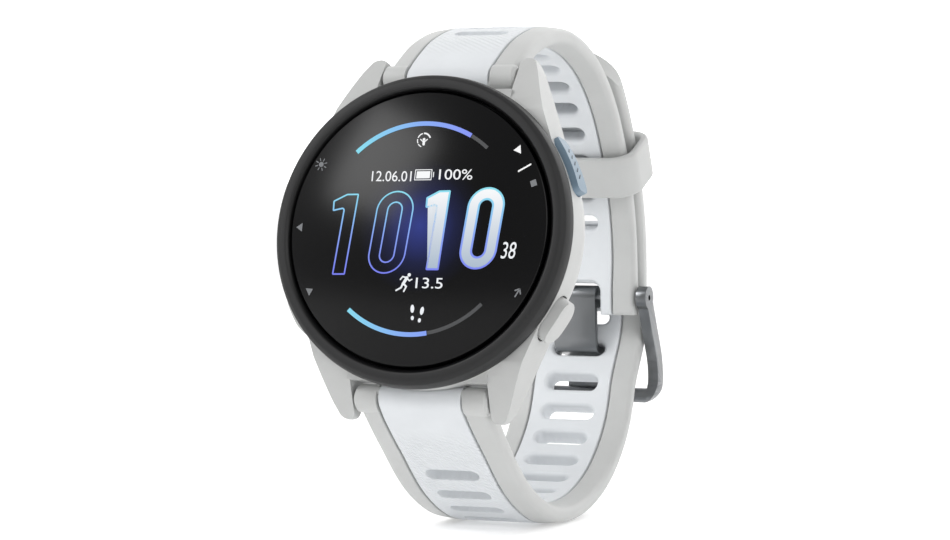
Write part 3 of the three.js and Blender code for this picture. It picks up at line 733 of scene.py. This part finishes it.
def oblong_ring(centre, half_width, half_height, inner, outer):
    """A flat leaning ring between two offsets from an oblong line."""
    bpy.ops.object.select_all(action="DESELECT")
    bpy.ops.mesh.primitive_circle_add(vertices=96, radius=half_width - inner)
    ring = started("ring")
    ring.data.transform(Matrix.Rotation(math.pi / 96, 4, "Z"))
    share = (half_width + outer) / (half_width - inner)
    edit(ring)
    bpy.ops.mesh.extrude_region()
    bpy.ops.transform.resize(value=(share, share, 1), center_override=(0, 0, 0))
    leave_edit()
    pulled_apart(ring, 0, half_height - half_width)
    ring.data.transform(Matrix.Translation((*centre, 0)) @ SLANT)
    return ring


def figure_one(corners, stroke):
    """The outline of a figure 1 as a stroke, and the face inside it."""
    outline = rounded([(x, y, 0.18) for x, y in corners], 3)
    face = flat_face("one", outline)
    edit(face)
    bpy.ops.mesh.select_mode(type="FACE")
    bpy.ops.mesh.select_all(action="SELECT")
    bpy.ops.mesh.inset(thickness=stroke, depth=0)
    bpy.ops.mesh.separate(type="SELECTED")
    leave_edit()
    inside = next(o for o in bpy.context.selected_objects if o is not face)
    return face, inside


def arc_band(radius, width, start, end):
    """A flat band round the middle of the face, from one angle to another."""
    angles = [math.radians(start + (end - start) * i / 72) for i in range(73)]
    outer, inner = radius + width / 2, radius - width / 2
    far = [(outer * math.cos(a), outer * math.sin(a)) for a in angles]
    near = [(inner * math.cos(a), inner * math.sin(a)) for a in angles]
    return flat_face("arc", far + near[::-1])


def dot(x, y, half_x, half_y=None, turn=0):
    """A flat oval, turned by some degrees."""
    half_y = half_y or half_x
    count = 28
    c, s = math.cos(math.radians(turn)), math.sin(math.radians(turn))
    ring = [(half_x * math.cos(math.tau * i / count), half_y * math.sin(math.tau * i / count))
            for i in range(count)]
    return flat_face("dot", [(x + c * a - s * b, y + s * a + c * b) for a, b in ring])


def limb(start, end, width):
    """A flat bar with round ends."""
    a, b = Vector(start), Vector(end)
    along = (b - a).normalized() * width / 2
    side = Vector((-along.y, along.x))
    outline = []
    for middle, way in ((b, 1), (a, -1)):
        for k in range(9):
            t = math.pi * k / 8
            point = middle + way * (-side * math.cos(t) + along * math.sin(t))
            outline.append(tuple(point))
    return flat_face("limb", outline)


def figures(text, x, y, height, width, lean=0.0):
    """Numbers from the plain built-in letters, as flat faces."""
    bpy.ops.object.select_all(action="DESELECT")
    bpy.ops.object.text_add()
    piece = bpy.context.object
    piece.data.body = text
    piece.data.resolution_u = 6
    bpy.ops.object.convert(target="MESH")
    piece = started("figures")
    xs = [v.co.x for v in piece.data.vertices]
    ys = [v.co.y for v in piece.data.vertices]
    sx, sy = width / (max(xs) - min(xs)), height / (max(ys) - min(ys))
    for vertex in piece.data.vertices:
        up = (vertex.co.y - min(ys)) * sy
        vertex.co = (x + (vertex.co.x - min(xs)) * sx + lean * up, y + up, 0)
    return piece


def mark(name, pieces, material):
    piece = thin(joined(name, pieces))
    placed(piece, HEAD)
    dress(piece, material)


def make_display_marks():
    left_one = [(-9.06, 4.74), (-10.85, 4.7), (-12.85, 3.72), (-12.82, 2.25), (-11.2, 2.62),
                (-12.08, -6.52), (-10.12, -6.48)]
    right_one = [(4.5, 5.28), (2.8, 5.22), (0.98, 4.26), (0.96, 2.78), (2.56, 3.14),
                 (1.76, -5.68), (3.68, -5.66)]
    left_stroke, left_inside = figure_one(left_one[::-1], 0.21)
    bpy.data.objects.remove(left_inside)
    right_stroke, right_inside = figure_one(right_one[::-1], 0.27)
    left_zero, right_zero = (-3.83, -0.55), (9.5, 0.12)
    mark("display_outlines", [
        left_stroke, right_stroke,
        oblong_ring(left_zero, 2.66, 5.6, 0.1, 0.1), oblong_ring(left_zero, 1.07, 4.13, 0.1, 0.1),
        oblong_ring(right_zero, 2.55, 5.45, 0.14, 0.14),
        oblong_ring(right_zero, 1.03, 3.98, 0.14, 0.14)], outline_light)
    mark("display_figures", [right_inside, oblong_ring(right_zero, 1.03, 3.98, -0.14, 1.38)],
         digit_light)
    mark("display_gauges", [arc_band(GAUGE_RADIUS, 0.62, 133.6, 62.0),
                            arc_band(GAUGE_RADIUS, 0.62, 230.9, 280.8)], gauge_light)
    mark("display_gauge_rest", [arc_band(GAUGE_RADIUS, 0.5, 61.6, 50.0),
                                arc_band(GAUGE_RADIUS, 0.5, 281.2, 315.6)], dim_paint)
    battery = [flat_face("cell", [(-0.78, 6.86), (1.2, 6.9), (1.24, 7.88), (-0.74, 7.84)])]
    corners = [(-1.0, 6.66), (1.42, 6.7), (1.46, 8.08), (-0.96, 8.04)]
    battery += [limb(a, b, 0.11) for a, b in zip(corners, corners[1:] + corners[:1])]
    runner = [dot(-0.55, -6.35, 0.24), limb((-0.85, -6.75), (-1.35, -7.6), 0.42),
              limb((-0.85, -6.75), (-1.5, -6.6), 0.2), limb((-1.5, -6.6), (-1.8, -7.0), 0.18),
              limb((-0.8, -6.85), (-0.45, -7.15), 0.2), limb((-0.45, -7.15), (-0.1, -6.95), 0.17),
              limb((-1.3, -7.55), (-0.85, -7.95), 0.26), limb((-0.85, -7.95), (-1.15, -8.6), 0.22),
              limb((-1.4, -7.6), (-1.6, -8.1), 0.26), limb((-1.6, -8.1), (-2.3, -8.5), 0.22)]
    feet = [dot(0.34, -10.95, 0.27, 0.55, 4), dot(0.46, -12.2, 0.22, 0.29, 4),
            dot(1.78, -11.2, 0.27, 0.55, -8), dot(1.52, -12.5, 0.22, 0.29, -8)]
    wheel = [arc_band(0.95, 0.22, 20, 95), arc_band(0.95, 0.16, 105, 160),
             arc_band(0.95, 0.14, 170, 205), arc_band(0.95, 0.14, 215, 250), dot(0, 0.12, 0.2),
             limb((0, -0.55), (0, -0.25), 0.36), limb((0, -0.3), (-0.5, 0.12), 0.14),
             limb((0, -0.3), (0.5, 0.12), 0.14)]
    for one in wheel:
        one.data.transform(Matrix.Translation((-0.12, 12.14, 0)))
    mark("display_small_marks", [
        *battery, limb((1.72, 7.1), (1.74, 7.72), 0.12), *runner, *feet, *wheel,
        figures("12.06.01", -7.4, 6.45, 1.42, 5.9), figures("100%", 2.55, 6.72, 1.42, 4.9),
        figures("13.5", 0.5, -8.15, 1.45, 3.95), figures("38", 12.5, -3.95, 2.25, 2.0, 0.12)],
        white_light)


def on_rim(pieces, angle, radius=RIM_RADIUS):
    """Brings marks drawn about the origin to the rim of the glass, their feet to its middle."""
    turn = Matrix.Rotation(math.radians(angle - 90), 4, "Z") @ Matrix.Translation((0, radius, 0))
    for piece in pieces:
        piece.data.transform(turn)
    return pieces


def make_rim_marks():
    """Generic signs by the buttons: a bulb's rays, arrows, a play wedge and a stop block."""
    up = flat_face("up", [(-0.6, -0.35), (0.6, -0.35), (0, 0.55)])
    down = flat_face("down", [(-0.6, 0.35), (0, -0.55), (0.6, 0.35)])
    bulb = [dot(0, 0, 0.36)]
    for i in range(8):
        a = math.tau * i / 8
        bulb.append(limb((0.55 * math.cos(a), 0.55 * math.sin(a)),
                         (0.85 * math.cos(a), 0.85 * math.sin(a)), 0.14))
    back = [limb((-0.6, 0), (0.6, 0), 0.2), limb((-0.6, 0), (-0.1, 0.45), 0.2),
            limb((-0.6, 0), (-0.1, -0.45), 0.2)]
    stop = flat_face("stop", [(-0.42, -0.42), (0.42, -0.42), (0.42, 0.42), (-0.42, 0.42)])
    grey = (on_rim(bulb, 150) + on_rim([up], 180) + on_rim([down], 210) + on_rim(back, -29) +
            on_rim([stop], 21))
    mark("rim_marks_grey", grey, mark_paint)
    play = flat_face("play", [(-0.4, -0.6), (0.65, 0), (-0.4, 0.6)])
    divider = limb((0, -0.95), (0, 0.95), 0.22)
    white = on_rim([play], 38) + on_rim([divider], 29.3, 17.1)
    mark("rim_marks_white", white, bright_paint)


# ------------------------------------------------------------------ the strap's line
# The middle line between the two spring bars, as (y, z) from the middle of the glass.
LOOP_LINE = [
    (20, 24.9), (30.5, 26.7), (41, 24.1), (49.3, 18.1), (55.3, 9), (58.6, -0.5), (59.4, -10.5),
    (59.2, -20.5), (56.2, -30.3), (48.6, -37.5), (38, -41.2), (27, -40.9), (17, -36.7),
    (8.7, -29.8)]
SHORT_LENGTH = 76.2
TAIL_LENGTH = 41.0  # how much of the long strap lies over the short one
LAYER_RISE = 3.95  # from the short strap's middle out to the long one's, where they overlap
LAYER_RUN = 12.0  # the length in which the long strap comes down to the middle line
BUCKLE_BAR = SHORT_LENGTH - 2.6
TONGUE_SLOT = BUCKLE_BAR + 8.5
TAIL_END = SHORT_LENGTH - TAIL_LENGTH
KEEPER_PLACE = SHORT_LENGTH - 22.3
SLOT_PITCH = 5.0
FIRST_SLOT = 12.0


def middle_of(node):
    low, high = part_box(node)
    return (low + high) / 2


def loop_points():
    """The middle line as closely spaced points, a centripetal curve through its points."""
    ends = [(middle_of(n) - GLASS) / MM for n in ("upper_bar", "lower_bar")]
    knots = [Vector((0, ends[0].y, ends[0].z)), *[Vector((0, y, z)) for y, z in LOOP_LINE],
             Vector((0, ends[1].y, ends[1].z))]
    knots = [2 * knots[0] - knots[1], *knots, 2 * knots[-1] - knots[-2]]
    points = []
    for p0, p1, p2, p3 in zip(knots, knots[1:], knots[2:], knots[3:]):
        d0, d1, d2 = [math.sqrt((b - a).length) for a, b in ((p0, p1), (p1, p2), (p2, p3))]
        m1 = ((p1 - p0) / d0 - (p2 - p0) / (d0 + d1) + (p2 - p1) / d1) * d1
        m2 = ((p2 - p1) / d1 - (p3 - p1) / (d1 + d2) + (p3 - p2) / d2) * d1
        for i in range(60):
            t = i / 60
            points.append(p1 + m1 * t + (3 * (p2 - p1) - 2 * m1 - m2) * t * t +
                          (2 * (p1 - p2) + m1 + m2) * t * t * t)
    points.append(knots[-2])
    return points


LINE = loop_points()
RUN = [0.0]
for before, after in zip(LINE, LINE[1:]):
    RUN.append(RUN[-1] + (after - before).length)
LOOP_LENGTH = RUN[-1]


def smooth_step(x):
    x = min(max(x, 0.0), 1.0)
    return x * x * (3 - 2 * x)


def spot(length):
    """Place, direction and outward normal at a length along the middle line."""
    length = min(max(length, 0.0), LOOP_LENGTH - 1e-6)
    i = next(k for k in range(len(RUN) - 1) if RUN[k + 1] > length)
    share = (length - RUN[i]) / (RUN[i + 1] - RUN[i])
    along = (LINE[min(i + 2, len(LINE) - 1)] - LINE[max(i - 1, 0)]).normalized()
    return LINE[i].lerp(LINE[i + 1], share), along, Vector((0, -along.z, along.y))


def rise(length):
    """How far the long strap lies outside the middle line."""
    return LAYER_RISE * (1 - smooth_step((length - SHORT_LENGTH) / LAYER_RUN))


def path_along(name, start, end, lift):
    """A curve object to bend a flat strap along, and the run along it for each length."""
    steps = int((end - start) / 0.5)
    lengths = [start + (end - start) * i / steps for i in range(steps + 1)]
    places = []
    for length in lengths:
        point, _, out = spot(length)
        places.append(point + out * lift(length))
    runs = [0.0]
    for a, b in zip(places, places[1:]):
        runs.append(runs[-1] + (b - a).length)
    curve = bpy.data.curves.new(name, "CURVE")
    curve.dimensions = "3D"
    curve.twist_mode = "MINIMUM"
    spline = curve.splines.new("POLY")
    spline.points.add(len(places) - 1)
    for handle, place in zip(spline.points, places):
        handle.co = (*place, 1)
    path = bpy.data.objects.new(name, curve)
    bpy.context.scene.collection.objects.link(path)

    def run_at(length):
        i = min(int((length - start) / (end - start) * steps), steps - 1)
        share = (length - lengths[i]) / (lengths[i + 1] - lengths[i])
        return runs[i] + share * (runs[i + 1] - runs[i])

    return path, run_at


short_path, _ = path_along("short_line", 0, SHORT_LENGTH, lambda length: 0)
long_path, long_run = path_along("long_line", TAIL_END, LOOP_LENGTH, rise)
LOOP = Matrix.Translation(GLASS) @ Matrix.Scale(MM, 4)

# ------------------------------------------------------------------ the strap, made flat
# Flat, a strap runs along X, and its outside looks up. Across is mirrored when it is bent.
HALF_WIDTH = 9.5
HALF_THICKNESS = 1.5
OUTSIDE, INSIDE = 1.4, -1.65  # heights of the white core's two faces
CORE_HALF = 6.05
RAIL_INNER = 6.38
WEB = 5.9  # the grey web under the groove reaches in to here
CORE_SECTION = rounded([(CORE_HALF, OUTSIDE, 0.16), (-CORE_HALF, OUTSIDE, 0.16),
                        (-CORE_HALF, INSIDE, 0.16), (CORE_HALF, INSIDE, 0.16)], 3)
RAIL_SECTION = rounded([(RAIL_INNER, OUTSIDE, 0.16), (RAIL_INNER, 0.75), (WEB, 0.75), (WEB, -1.05),
                        (RAIL_INNER, -1.05), (RAIL_INNER, -1.63, 0.16),
                        (HALF_WIDTH, -1.0, 0.85), (HALF_WIDTH, 1.0, 0.85)], 5)
FULL_SECTION = rounded([(HALF_WIDTH, 1.15, 0.85), (-HALF_WIDTH, 1.15, 0.85),
                        (-HALF_WIDTH, -1.2, 0.85), (HALF_WIDTH, -1.2, 0.85)], 5)


def lofted(name, section, stations):
    """A section of (across, up) pulled along X through (run, thickness) stations."""
    piece = flat_face(name, section)
    piece.data.transform(PULLED_ALONG_X)
    run, share = stations[0]
    edit(piece)
    bpy.ops.transform.resize(value=(1, 1, share), center_override=(0, 0, 0))
    bpy.ops.transform.translate(value=(run, 0, 0))
    for next_run, next_share in stations[1:]:
        bpy.ops.mesh.extrude_region()
        bpy.ops.transform.translate(value=(next_run - run, 0, 0))
        bpy.ops.transform.resize(value=(1, 1, next_share / share),
                                 center_override=(next_run, 0, 0))
        run, share = next_run, next_share
    leave_edit()
    mend(piece)
    return piece


def thickness(from_bar, from_end):
    """Thickness share: fuller at the spring bar, and round the buckle's bar."""
    fuller = 0.6 * (1 - smooth_step(from_bar / 12)) + 0.5 * smooth_step((9 - from_end) / 6)
    if from_bar < 0:
        return math.sqrt(max(ROLL ** 2 - from_bar ** 2, 0.01)) / HALF_THICKNESS
    return 1 + fuller / HALF_THICKNESS * min(1.0, 0.75 + from_bar / 8)


STATION_STEP = 0.8
NO_BUCKLE = 100  # a strap's end that is this far off has no effect on its thickness


def stations_for(first, last, share_at):
    """Even stations from one run to another, with the thickness at each."""
    count = max(int((last - first) / STATION_STEP), 1)
    return [(first + (last - first) * i / count, share_at(first + (last - first) * i / count))
            for i in range(count + 1)]


ROLL_RUNS = (-1.94, -1.88, -1.75, -1.5, -1.1, -0.6)  # stations on a strap's round end
SLOT_HALF = 1.12
SLOT_HALF_ACROSS = 4.0
NOTCH_HALF = 4.7
BEFORE_NOTCH = 4.4  # no slot is nearer to the notch than this


def slot_cutter(half_x, half_y, radius, inner_flare, outer_flare):
    """A trumpet turned and pulled apart: its flares leave rounded lips on both faces."""
    lips = []
    for k in range(7):
        t = math.radians(78 * (1 - k / 6))
        lips.append((radius + inner_flare * (1 - math.cos(t)),
                     INSIDE + inner_flare * (1 - math.sin(t))))
    for k in range(5):
        t = math.radians(75 * k / 4)
        lips.append((radius + outer_flare * (1 - math.cos(t)),
                     OUTSIDE - outer_flare * (1 - math.sin(t))))
    profile = [(0, -3.6), (lips[0][0] + 0.04, -3.6), *lips, (radius + outer_flare, 3.4), (0, 3.4)]
    cutter = turned("slot_cutter", profile, 32)
    cutter.data.transform(Matrix.Rotation(math.pi / 32, 4, "Z"))
    return pulled_apart(cutter, half_x - radius, half_y - radius)


def cut_slots(piece, runs):
    cutter = slot_cutter(SLOT_HALF, SLOT_HALF_ACROSS, SLOT_HALF, 0.7, 0.14)
    cutters = [copied(cutter, Matrix.Translation((run, 0, 0))) for run in runs]
    bpy.data.objects.remove(cutter)
    combine(piece, joined("slots", cutters), "DIFFERENCE")


def rib_share(from_bar, up):
    """Depth of the ribs: only on the outside, fading in from the lug."""
    return smooth_step((from_bar - 3.2) / 4.5) if up > 0.8 else 0.0


def add_strap_map(piece, from_bar):
    """Keeps each corner's flat place as a map, and each vertex's rib depth."""
    flat = piece.data.uv_layers.new(name="strap_map")
    for loop in piece.data.loops:
        co = piece.data.vertices[loop.vertex_index].co
        flat.data[loop.index].uv = (co.x / MAP_MM, co.y / MAP_MM)
    depth = piece.data.attributes.new("rib_depth", "FLOAT", "POINT")
    for i, vertex in enumerate(piece.data.vertices):
        depth.data[i].value = rib_share(from_bar(vertex.co.x), vertex.co.z)


def bent(piece, path):
    """Bends a flat strap along its line."""
    apply_modifier(piece, "CURVE", object=path, deform_axis="POS_X")
    return placed(piece, LOOP, 38)


def both_rails(name, stations, bar_run):
    """The two rails, each with its round end about the spring bar."""
    right = lofted(name, RAIL_SECTION, stations)
    roll = turned("roll", [(0, RAIL_INNER), (ROLL, RAIL_INNER), (ROLL, 9.1), (ROLL - 0.08, 9.5),
                           (ROLL - 0.5, 9.85), (0, 9.85)], 48)
    roll.data.transform(Matrix.Translation((bar_run, 0, 0)) @
                        Matrix.Rotation(-math.pi / 2, 4, "X"))
    combine(right, roll, "UNION")
    left = copied(right, Matrix.Diagonal((1, -1, 1, 1)))
    return joined(name, [right, left])


def make_short_strap():
    end = SHORT_LENGTH

    def share(run):
        return thickness(run, end - run)

    runs = [(run, share(run)) for run in ROLL_RUNS] + stations_for(0, end - 0.5, share)
    runs += [(end - 0.15, share(end) * 0.93), (end, share(end) * 0.8)]
    core = lofted("upper_strap_white", CORE_SECTION, runs)
    count = int((end - NOTCH_HALF - BEFORE_NOTCH - FIRST_SLOT) / SLOT_PITCH)
    cut_slots(core, [FIRST_SLOT + i * SLOT_PITCH for i in range(count)])
    notch = slot_cutter(NOTCH_HALF, SLOT_HALF_ACROSS, 1.2, 0.8, 0.3)
    notch.data.transform(Matrix.Translation((end, 0, 0)))
    combine(core, notch, "DIFFERENCE")
    add_strap_map(core, lambda run: run)
    bent(core, short_path)
    dress(core, white_silicone, stands_for=["upper_strap_core"])
    rails = both_rails("upper_strap_grey", runs, 0)
    bent(rails, short_path)
    dress(rails, grey_silicone, stands_for=["upper_strap_frame"])


TIP_HALF = HALF_WIDTH + 0.0095  # just clear of the strap's sides


def make_long_strap():
    end = long_run(LOOP_LENGTH - 1e-4)
    tip = 5.0  # the end that is grey all across

    def share(run):
        return thickness(end - run, NO_BUCKLE)

    roll = [(end - run, thickness(run, NO_BUCKLE)) for run in reversed(ROLL_RUNS)]
    core = lofted("lower_strap_white", CORE_SECTION,
                  stations_for(tip + 0.15, end - 0.001, share) + roll)
    before = int((TONGUE_SLOT - TAIL_END - 12) / SLOT_PITCH)
    after = int((LOOP_LENGTH - FIRST_SLOT - TONGUE_SLOT) / SLOT_PITCH)
    cut_slots(core, [long_run(TONGUE_SLOT + i * SLOT_PITCH) for i in range(-before, after + 1)])
    add_strap_map(core, lambda run: end - run)
    bent(core, long_path)
    dress(core, white_silicone, stands_for=["lower_strap_core"])
    rails = both_rails("lower_strap_grey", stations_for(tip - 0.4, end - 0.001, share) + roll,
                       end)
    tip_piece = lofted("tip", FULL_SECTION, stations_for(0.0, tip, lambda run: 1.0))
    combine(rails, tip_piece, "UNION")
    reach = 9.0  # the length of the end's rounding
    turns = [math.pi * t / 40 for t in range(21)]
    side = [(reach - reach * math.cos(turn), TIP_HALF * math.sin(turn)) for turn in turns]
    outline = [*side, (end + 9, 12), (end + 9, -12), *[(x, -y) for x, y in side[:0:-1]]]
    combine(rails, prism("plan", outline, -4, 4), "INTERSECT")
    bent(rails, long_path)
    dress(rails, grey_silicone, stands_for=["lower_strap_frame"])


# ------------------------------------------------------------------ keeper and buckle
def station_frame(length, lift):
    """Millimetres across, along and out of the strap at a length, to metres."""
    point, along, out = spot(length)
    return frame_of(GLASS + (point + out * lift) * MM, -X_AXIS, along, out)


KEEPER_GAP = 0.55  # between the keeper and the straps


def make_keeper():
    low, high = INSIDE - KEEPER_GAP, LAYER_RISE + OUTSIDE + 2 * KEEPER_GAP
    half_x, half_n = HALF_WIDTH + KEEPER_GAP, (high - low) / 2
    corner, wall, half = 2.3, 1.3, 3.2
    rim = 0.5
    outer, inner = corner + wall, corner
    section = rounded([(outer, -half, rim), (outer, half, rim), (inner, half, rim),
                       (inner, -half, rim)], 5)
    piece = turned("keeper_band", [*section, section[0]], 64)
    piece.data.transform(Matrix.Rotation(math.pi / 64, 4, "Z"))
    pulled_apart(piece, half_x - corner, half_n - corner)
    piece.data.transform(Matrix.Rotation(math.pi / 2, 4, "X"))
    placed(piece, station_frame(KEEPER_PLACE, (low + high) / 2), 40)
    dress(piece, grey_silicone, "keeper", ["keeper"])


def band_outline(points, width, count=36):
    """A band of even width round a smooth line through (along, out) points, with round ends."""
    knots = [Vector(p) for p in points]
    knots = [2 * knots[0] - knots[1], *knots, 2 * knots[-1] - knots[-2]]
    line = []
    spans = len(points) - 1
    for i in range(count + 1):
        place = min(i / count * spans, spans - 1e-6)
        k, t = int(place), place - int(place)
        p0, p1, p2, p3 = knots[k:k + 4]
        line.append(0.5 * (2 * p1 + (p2 - p0) * t + (2 * p0 - 5 * p1 + 4 * p2 - p3) * t * t +
                           (3 * p1 - p0 - 3 * p2 + p3) * t * t * t))
    sides = ([], [])
    for i, point in enumerate(line):
        way = (line[min(i + 1, count)] - line[max(i - 1, 0)]).normalized() * width / 2
        sides[0].append((point.x - way.y, point.y + way.x))
        sides[1].append((point.x + way.y, point.y - way.x))
    return sides[0] + sides[1][::-1]


_, BAR_ALONG, BAR_OUT = spot(BUCKLE_BAR)
# In the buckle's side view, x runs along the strap, y out of it and z across it.
BUCKLE = frame_of(middle_of("buckle_bar"), BAR_ALONG, BAR_OUT, X_AXIS)
ARM_INNER = 9.9
ARM_OUTER = 11.5
ARM_WIDTH = 2.3
EYE_RADIUS = 1.72
CROSSBAR_HALF = (1.1, 0.75)
CROSSBAR_CLEARANCE = 1.3  # from the strap's outside to the crossbar
CROSSBAR = (15.2, OUTSIDE + CROSSBAR_CLEARANCE + CROSSBAR_HALF[1])


def round_bar(name, radius, centre, low, high, segments=48):
    piece = turned(name, [(0, low), (radius, low), (radius, high), (0, high)], segments)
    piece.data.transform(Matrix.Translation((*centre, 0)))
    return piece


def make_buckle_frame():
    line = [(0, 0), (4.6, 2), (9.6, 4.2), (13.2, 4.5), CROSSBAR]
    arms = []
    for low in (ARM_INNER, -ARM_OUTER):
        high = low + ARM_OUTER - ARM_INNER
        arm = prism("arm", band_outline(line, ARM_WIDTH), low, high)
        combine(arm, round_bar("eye", EYE_RADIUS, (0, 0), low, high), "UNION")
        combine(arm, round_bar("end", ARM_WIDTH / 2, CROSSBAR, low, high), "UNION")
        arms.append(arm)
    piece = arms[0]
    combine(piece, arms[1], "UNION")
    half_a, half_o = CROSSBAR_HALF
    bar = prism("crossbar", rounded([(half_a, half_o, 0.6), (-half_a, half_o, 0.6),
                                     (-half_a, -half_o, 0.6), (half_a, -half_o, 0.6)]),
                -ARM_OUTER + 0.2, ARM_OUTER - 0.2)
    bar.data.transform(Matrix.Translation((*CROSSBAR, 0)))
    combine(piece, bar, "UNION")
    far = CROSSBAR[0] + ARM_WIDTH / 2
    plan = rounded([(-4, ARM_OUTER), (far, ARM_OUTER, 2.6), (far, -ARM_OUTER, 2.6),
                    (-4, -ARM_OUTER)], 10)
    seen_from_outside = Matrix(((1, 0, 0, 0), (0, 0, 1, 0), (0, 1, 0, 0), (0, 0, 0, 1)))
    combine(piece, prism("plan", plan, -6, 14, seen_from_outside), "INTERSECT")
    soften(piece, 0.28, 3, 40)
    combine(piece, round_bar("pin_hole", 0.42, (0, 0), -ARM_OUTER - 1, ARM_OUTER + 1, 24),
            "DIFFERENCE")
    placed(piece, BUCKLE)
    dress(piece, gunmetal, "buckle_frame", ["buckle_frame"])


TONGUE_HALF = 3.35
TONGUE_OVER = 1.15  # from the crossbar's middle to the middle of the tongue over it


def make_buckle_tongue():
    """A flat tongue that goes under the strap, up through a slot and over the crossbar."""
    over = CROSSBAR[1] + TONGUE_OVER
    a = TONGUE_SLOT - BUCKLE_BAR
    line = [(0, -1.2), (a - 4, -1.2), (a - 1.9, -1.15), (a - 0.75, -0.6), (a - 0.3, 0.4),
            (a + 0.25, 2.8), (a + 0.7, over - 0.55), (a + 1.8, over), (CROSSBAR[0] + 1.3, over)]
    half = TONGUE_HALF
    piece = prism("buckle_pin", band_outline(line, 1.0, 48), -half, half)
    combine(piece, round_bar("roll", 1.7, (0, 0), -half, half), "UNION")
    soften(piece, 0.22, 3, 40)
    placed(piece, BUCKLE)
    dress(piece, gunmetal, "buckle_tongue", ["buckle_tongue"])


# ------------------------------------------------------------------ pieces kept as they are
# Nodes whose own finish is finer than their slot's, and then the finish for each slot.
KEPT = {
    "lens_gasket": rubber, "display_panel": display_glass, "chassis": inner_polymer,
    "battery": foil_pouch, "vibration_motor": bright_steel, "beeper": inner_polymer,
    "main_board": board_laminate, "sensor_board": board_laminate, "back_gasket": rubber,
    "upper_bar": bright_steel, "lower_bar": bright_steel, "upper_release_pin": bright_steel,
    "lower_release_pin": bright_steel, "buckle_bar": bright_steel}
FINISH_BY_SLOT = {
    "case_grey": case_polymer, "bezel_black": bezel_polymer, "cover_glass": lens_glass,
    "grey_silicone": grey_silicone, "white_silicone": white_silicone,
    "blue_grey_polymer": button_polymer, "gunmetal_steel": gunmetal,
    "bright_steel": bright_steel, "contact_gold": contact_gold, "black_rubber": rubber,
    "sensor_black": sensor_glass, "dark_screw": screw_steel}


def dress_kept_nodes():
    """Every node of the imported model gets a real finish, shown or not."""
    slots = {s["node"]: s["material_slot"] for s in frame["record"]["subparts"]}
    for name, node in frame["nodes"].items():
        material = KEPT.get(name) or FINISH_BY_SLOT[slots[name]]
        node.data.materials.clear()
        node.data.materials.append(material)


# ------------------------------------------------------------------ floor, light and camera
def paper(piece, name, light):
    """White background paper that is lit as well as the set needs."""
    material = bpy.data.materials.new(name)
    material.use_nodes = True
    shader = material.node_tree.nodes["Principled BSDF"]
    shader.inputs["Base Color"].default_value = colour("#ededed")
    shader.inputs["Roughness"].default_value = 0.9
    shader.inputs["Emission Color"].default_value = colour("#ffffff")
    shader.inputs["Emission Strength"].default_value = light
    piece.data.materials.append(material)


FLOOR_SIZE, FLOOR_LIGHT = 9, 0.3
WALL_SIZE, WALL_LIGHT = 14, 1.0
WALL_BEHIND = 4.4
SKY_LIGHT = 0.52
LAMPS = [  # name, place from the middle of the watch, size in metres, power in watts
    ("key_softbox", (-0.42, -0.36, 0.42), 0.35, 2.3),
    ("fill_softbox", (0.5, -0.3, 0.3), 0.4, 1.0),
    ("back_softbox", (0.15, 0.45, 0.4), 0.4, 0.9)]


def make_studio():
    """A white floor and wall, an even white sky and three square lamps."""
    floor_height = cad_box[0].z
    bpy.ops.object.select_all(action="DESELECT")
    bpy.ops.mesh.primitive_plane_add(size=FLOOR_SIZE, location=(0, 0, floor_height))
    paper(started("studio_floor"), "paper_seamless_floor", FLOOR_LIGHT)
    bpy.ops.object.select_all(action="DESELECT")
    bpy.ops.mesh.primitive_plane_add(size=WALL_SIZE, location=(0, WALL_BEHIND, 0),
                                     rotation=(math.radians(90), 0, 0))
    paper(started("studio_wall"), "paper_seamless_wall", WALL_LIGHT)
    world = bpy.data.worlds.new("studio")
    bpy.context.scene.world = world
    world.use_nodes = True
    sky = world.node_tree.nodes["Background"]
    sky.inputs["Color"].default_value = colour("#ffffff")
    sky.inputs["Strength"].default_value = SKY_LIGHT
    bpy.context.scene.view_settings.view_transform = "Standard"
    middle = (cad_box[0] + cad_box[1]) / 2
    for name, place, size, power in LAMPS:
        data = bpy.data.lights.new(name, "AREA")
        data.size = size
        data.energy = power
        lamp = bpy.data.objects.new(name, data)
        bpy.context.scene.collection.objects.link(lamp)
        lamp.location = middle + Vector(place)
        lamp.rotation_mode = "QUATERNION"
        lamp.rotation_quaternion = (-Vector(place)).to_track_quat("-Z", "Y")


CAMERA_AIM = (0, 29, -5.5)  # mm from the middle of the glass
CAMERA_TURN, CAMERA_LIFT = 22.8, 2.0  # degrees round to the right, and up
CAMERA_DISTANCE = 0.45
FOCAL_LENGTH = 119.2
FRAME_SHIFT = (-0.0270, -0.0080)


def make_camera():
    aim = GLASS + Vector(CAMERA_AIM) * MM
    turn, lift = math.radians(CAMERA_TURN), math.radians(CAMERA_LIFT)
    back = Vector((math.sin(turn) * math.cos(lift), -math.cos(turn) * math.cos(lift),
                   math.sin(lift)))
    data = bpy.data.cameras.new("camera")
    data.lens = FOCAL_LENGTH
    data.sensor_width = 36
    data.shift_x, data.shift_y = FRAME_SHIFT
    data.clip_start = 0.01
    data.clip_end = 50
    camera = bpy.data.objects.new("camera", data)
    bpy.context.scene.collection.objects.link(camera)
    camera.location = aim + back * CAMERA_DISTANCE
    camera.rotation_mode = "QUATERNION"
    camera.rotation_quaternion = (-back).to_track_quat("-Z", "Y")
    bpy.context.scene.camera = camera


make_camera()
make_studio()
dress_kept_nodes()
make_bezel()
make_lens()
make_case()
make_buttons()
make_back()
make_display_marks()
make_rim_marks()
make_short_strap()
make_long_strap()
make_keeper()
make_buckle_frame()
make_buckle_tongue()
for path in (short_path, long_path):  # their bending is done
    bpy.data.objects.remove(path)
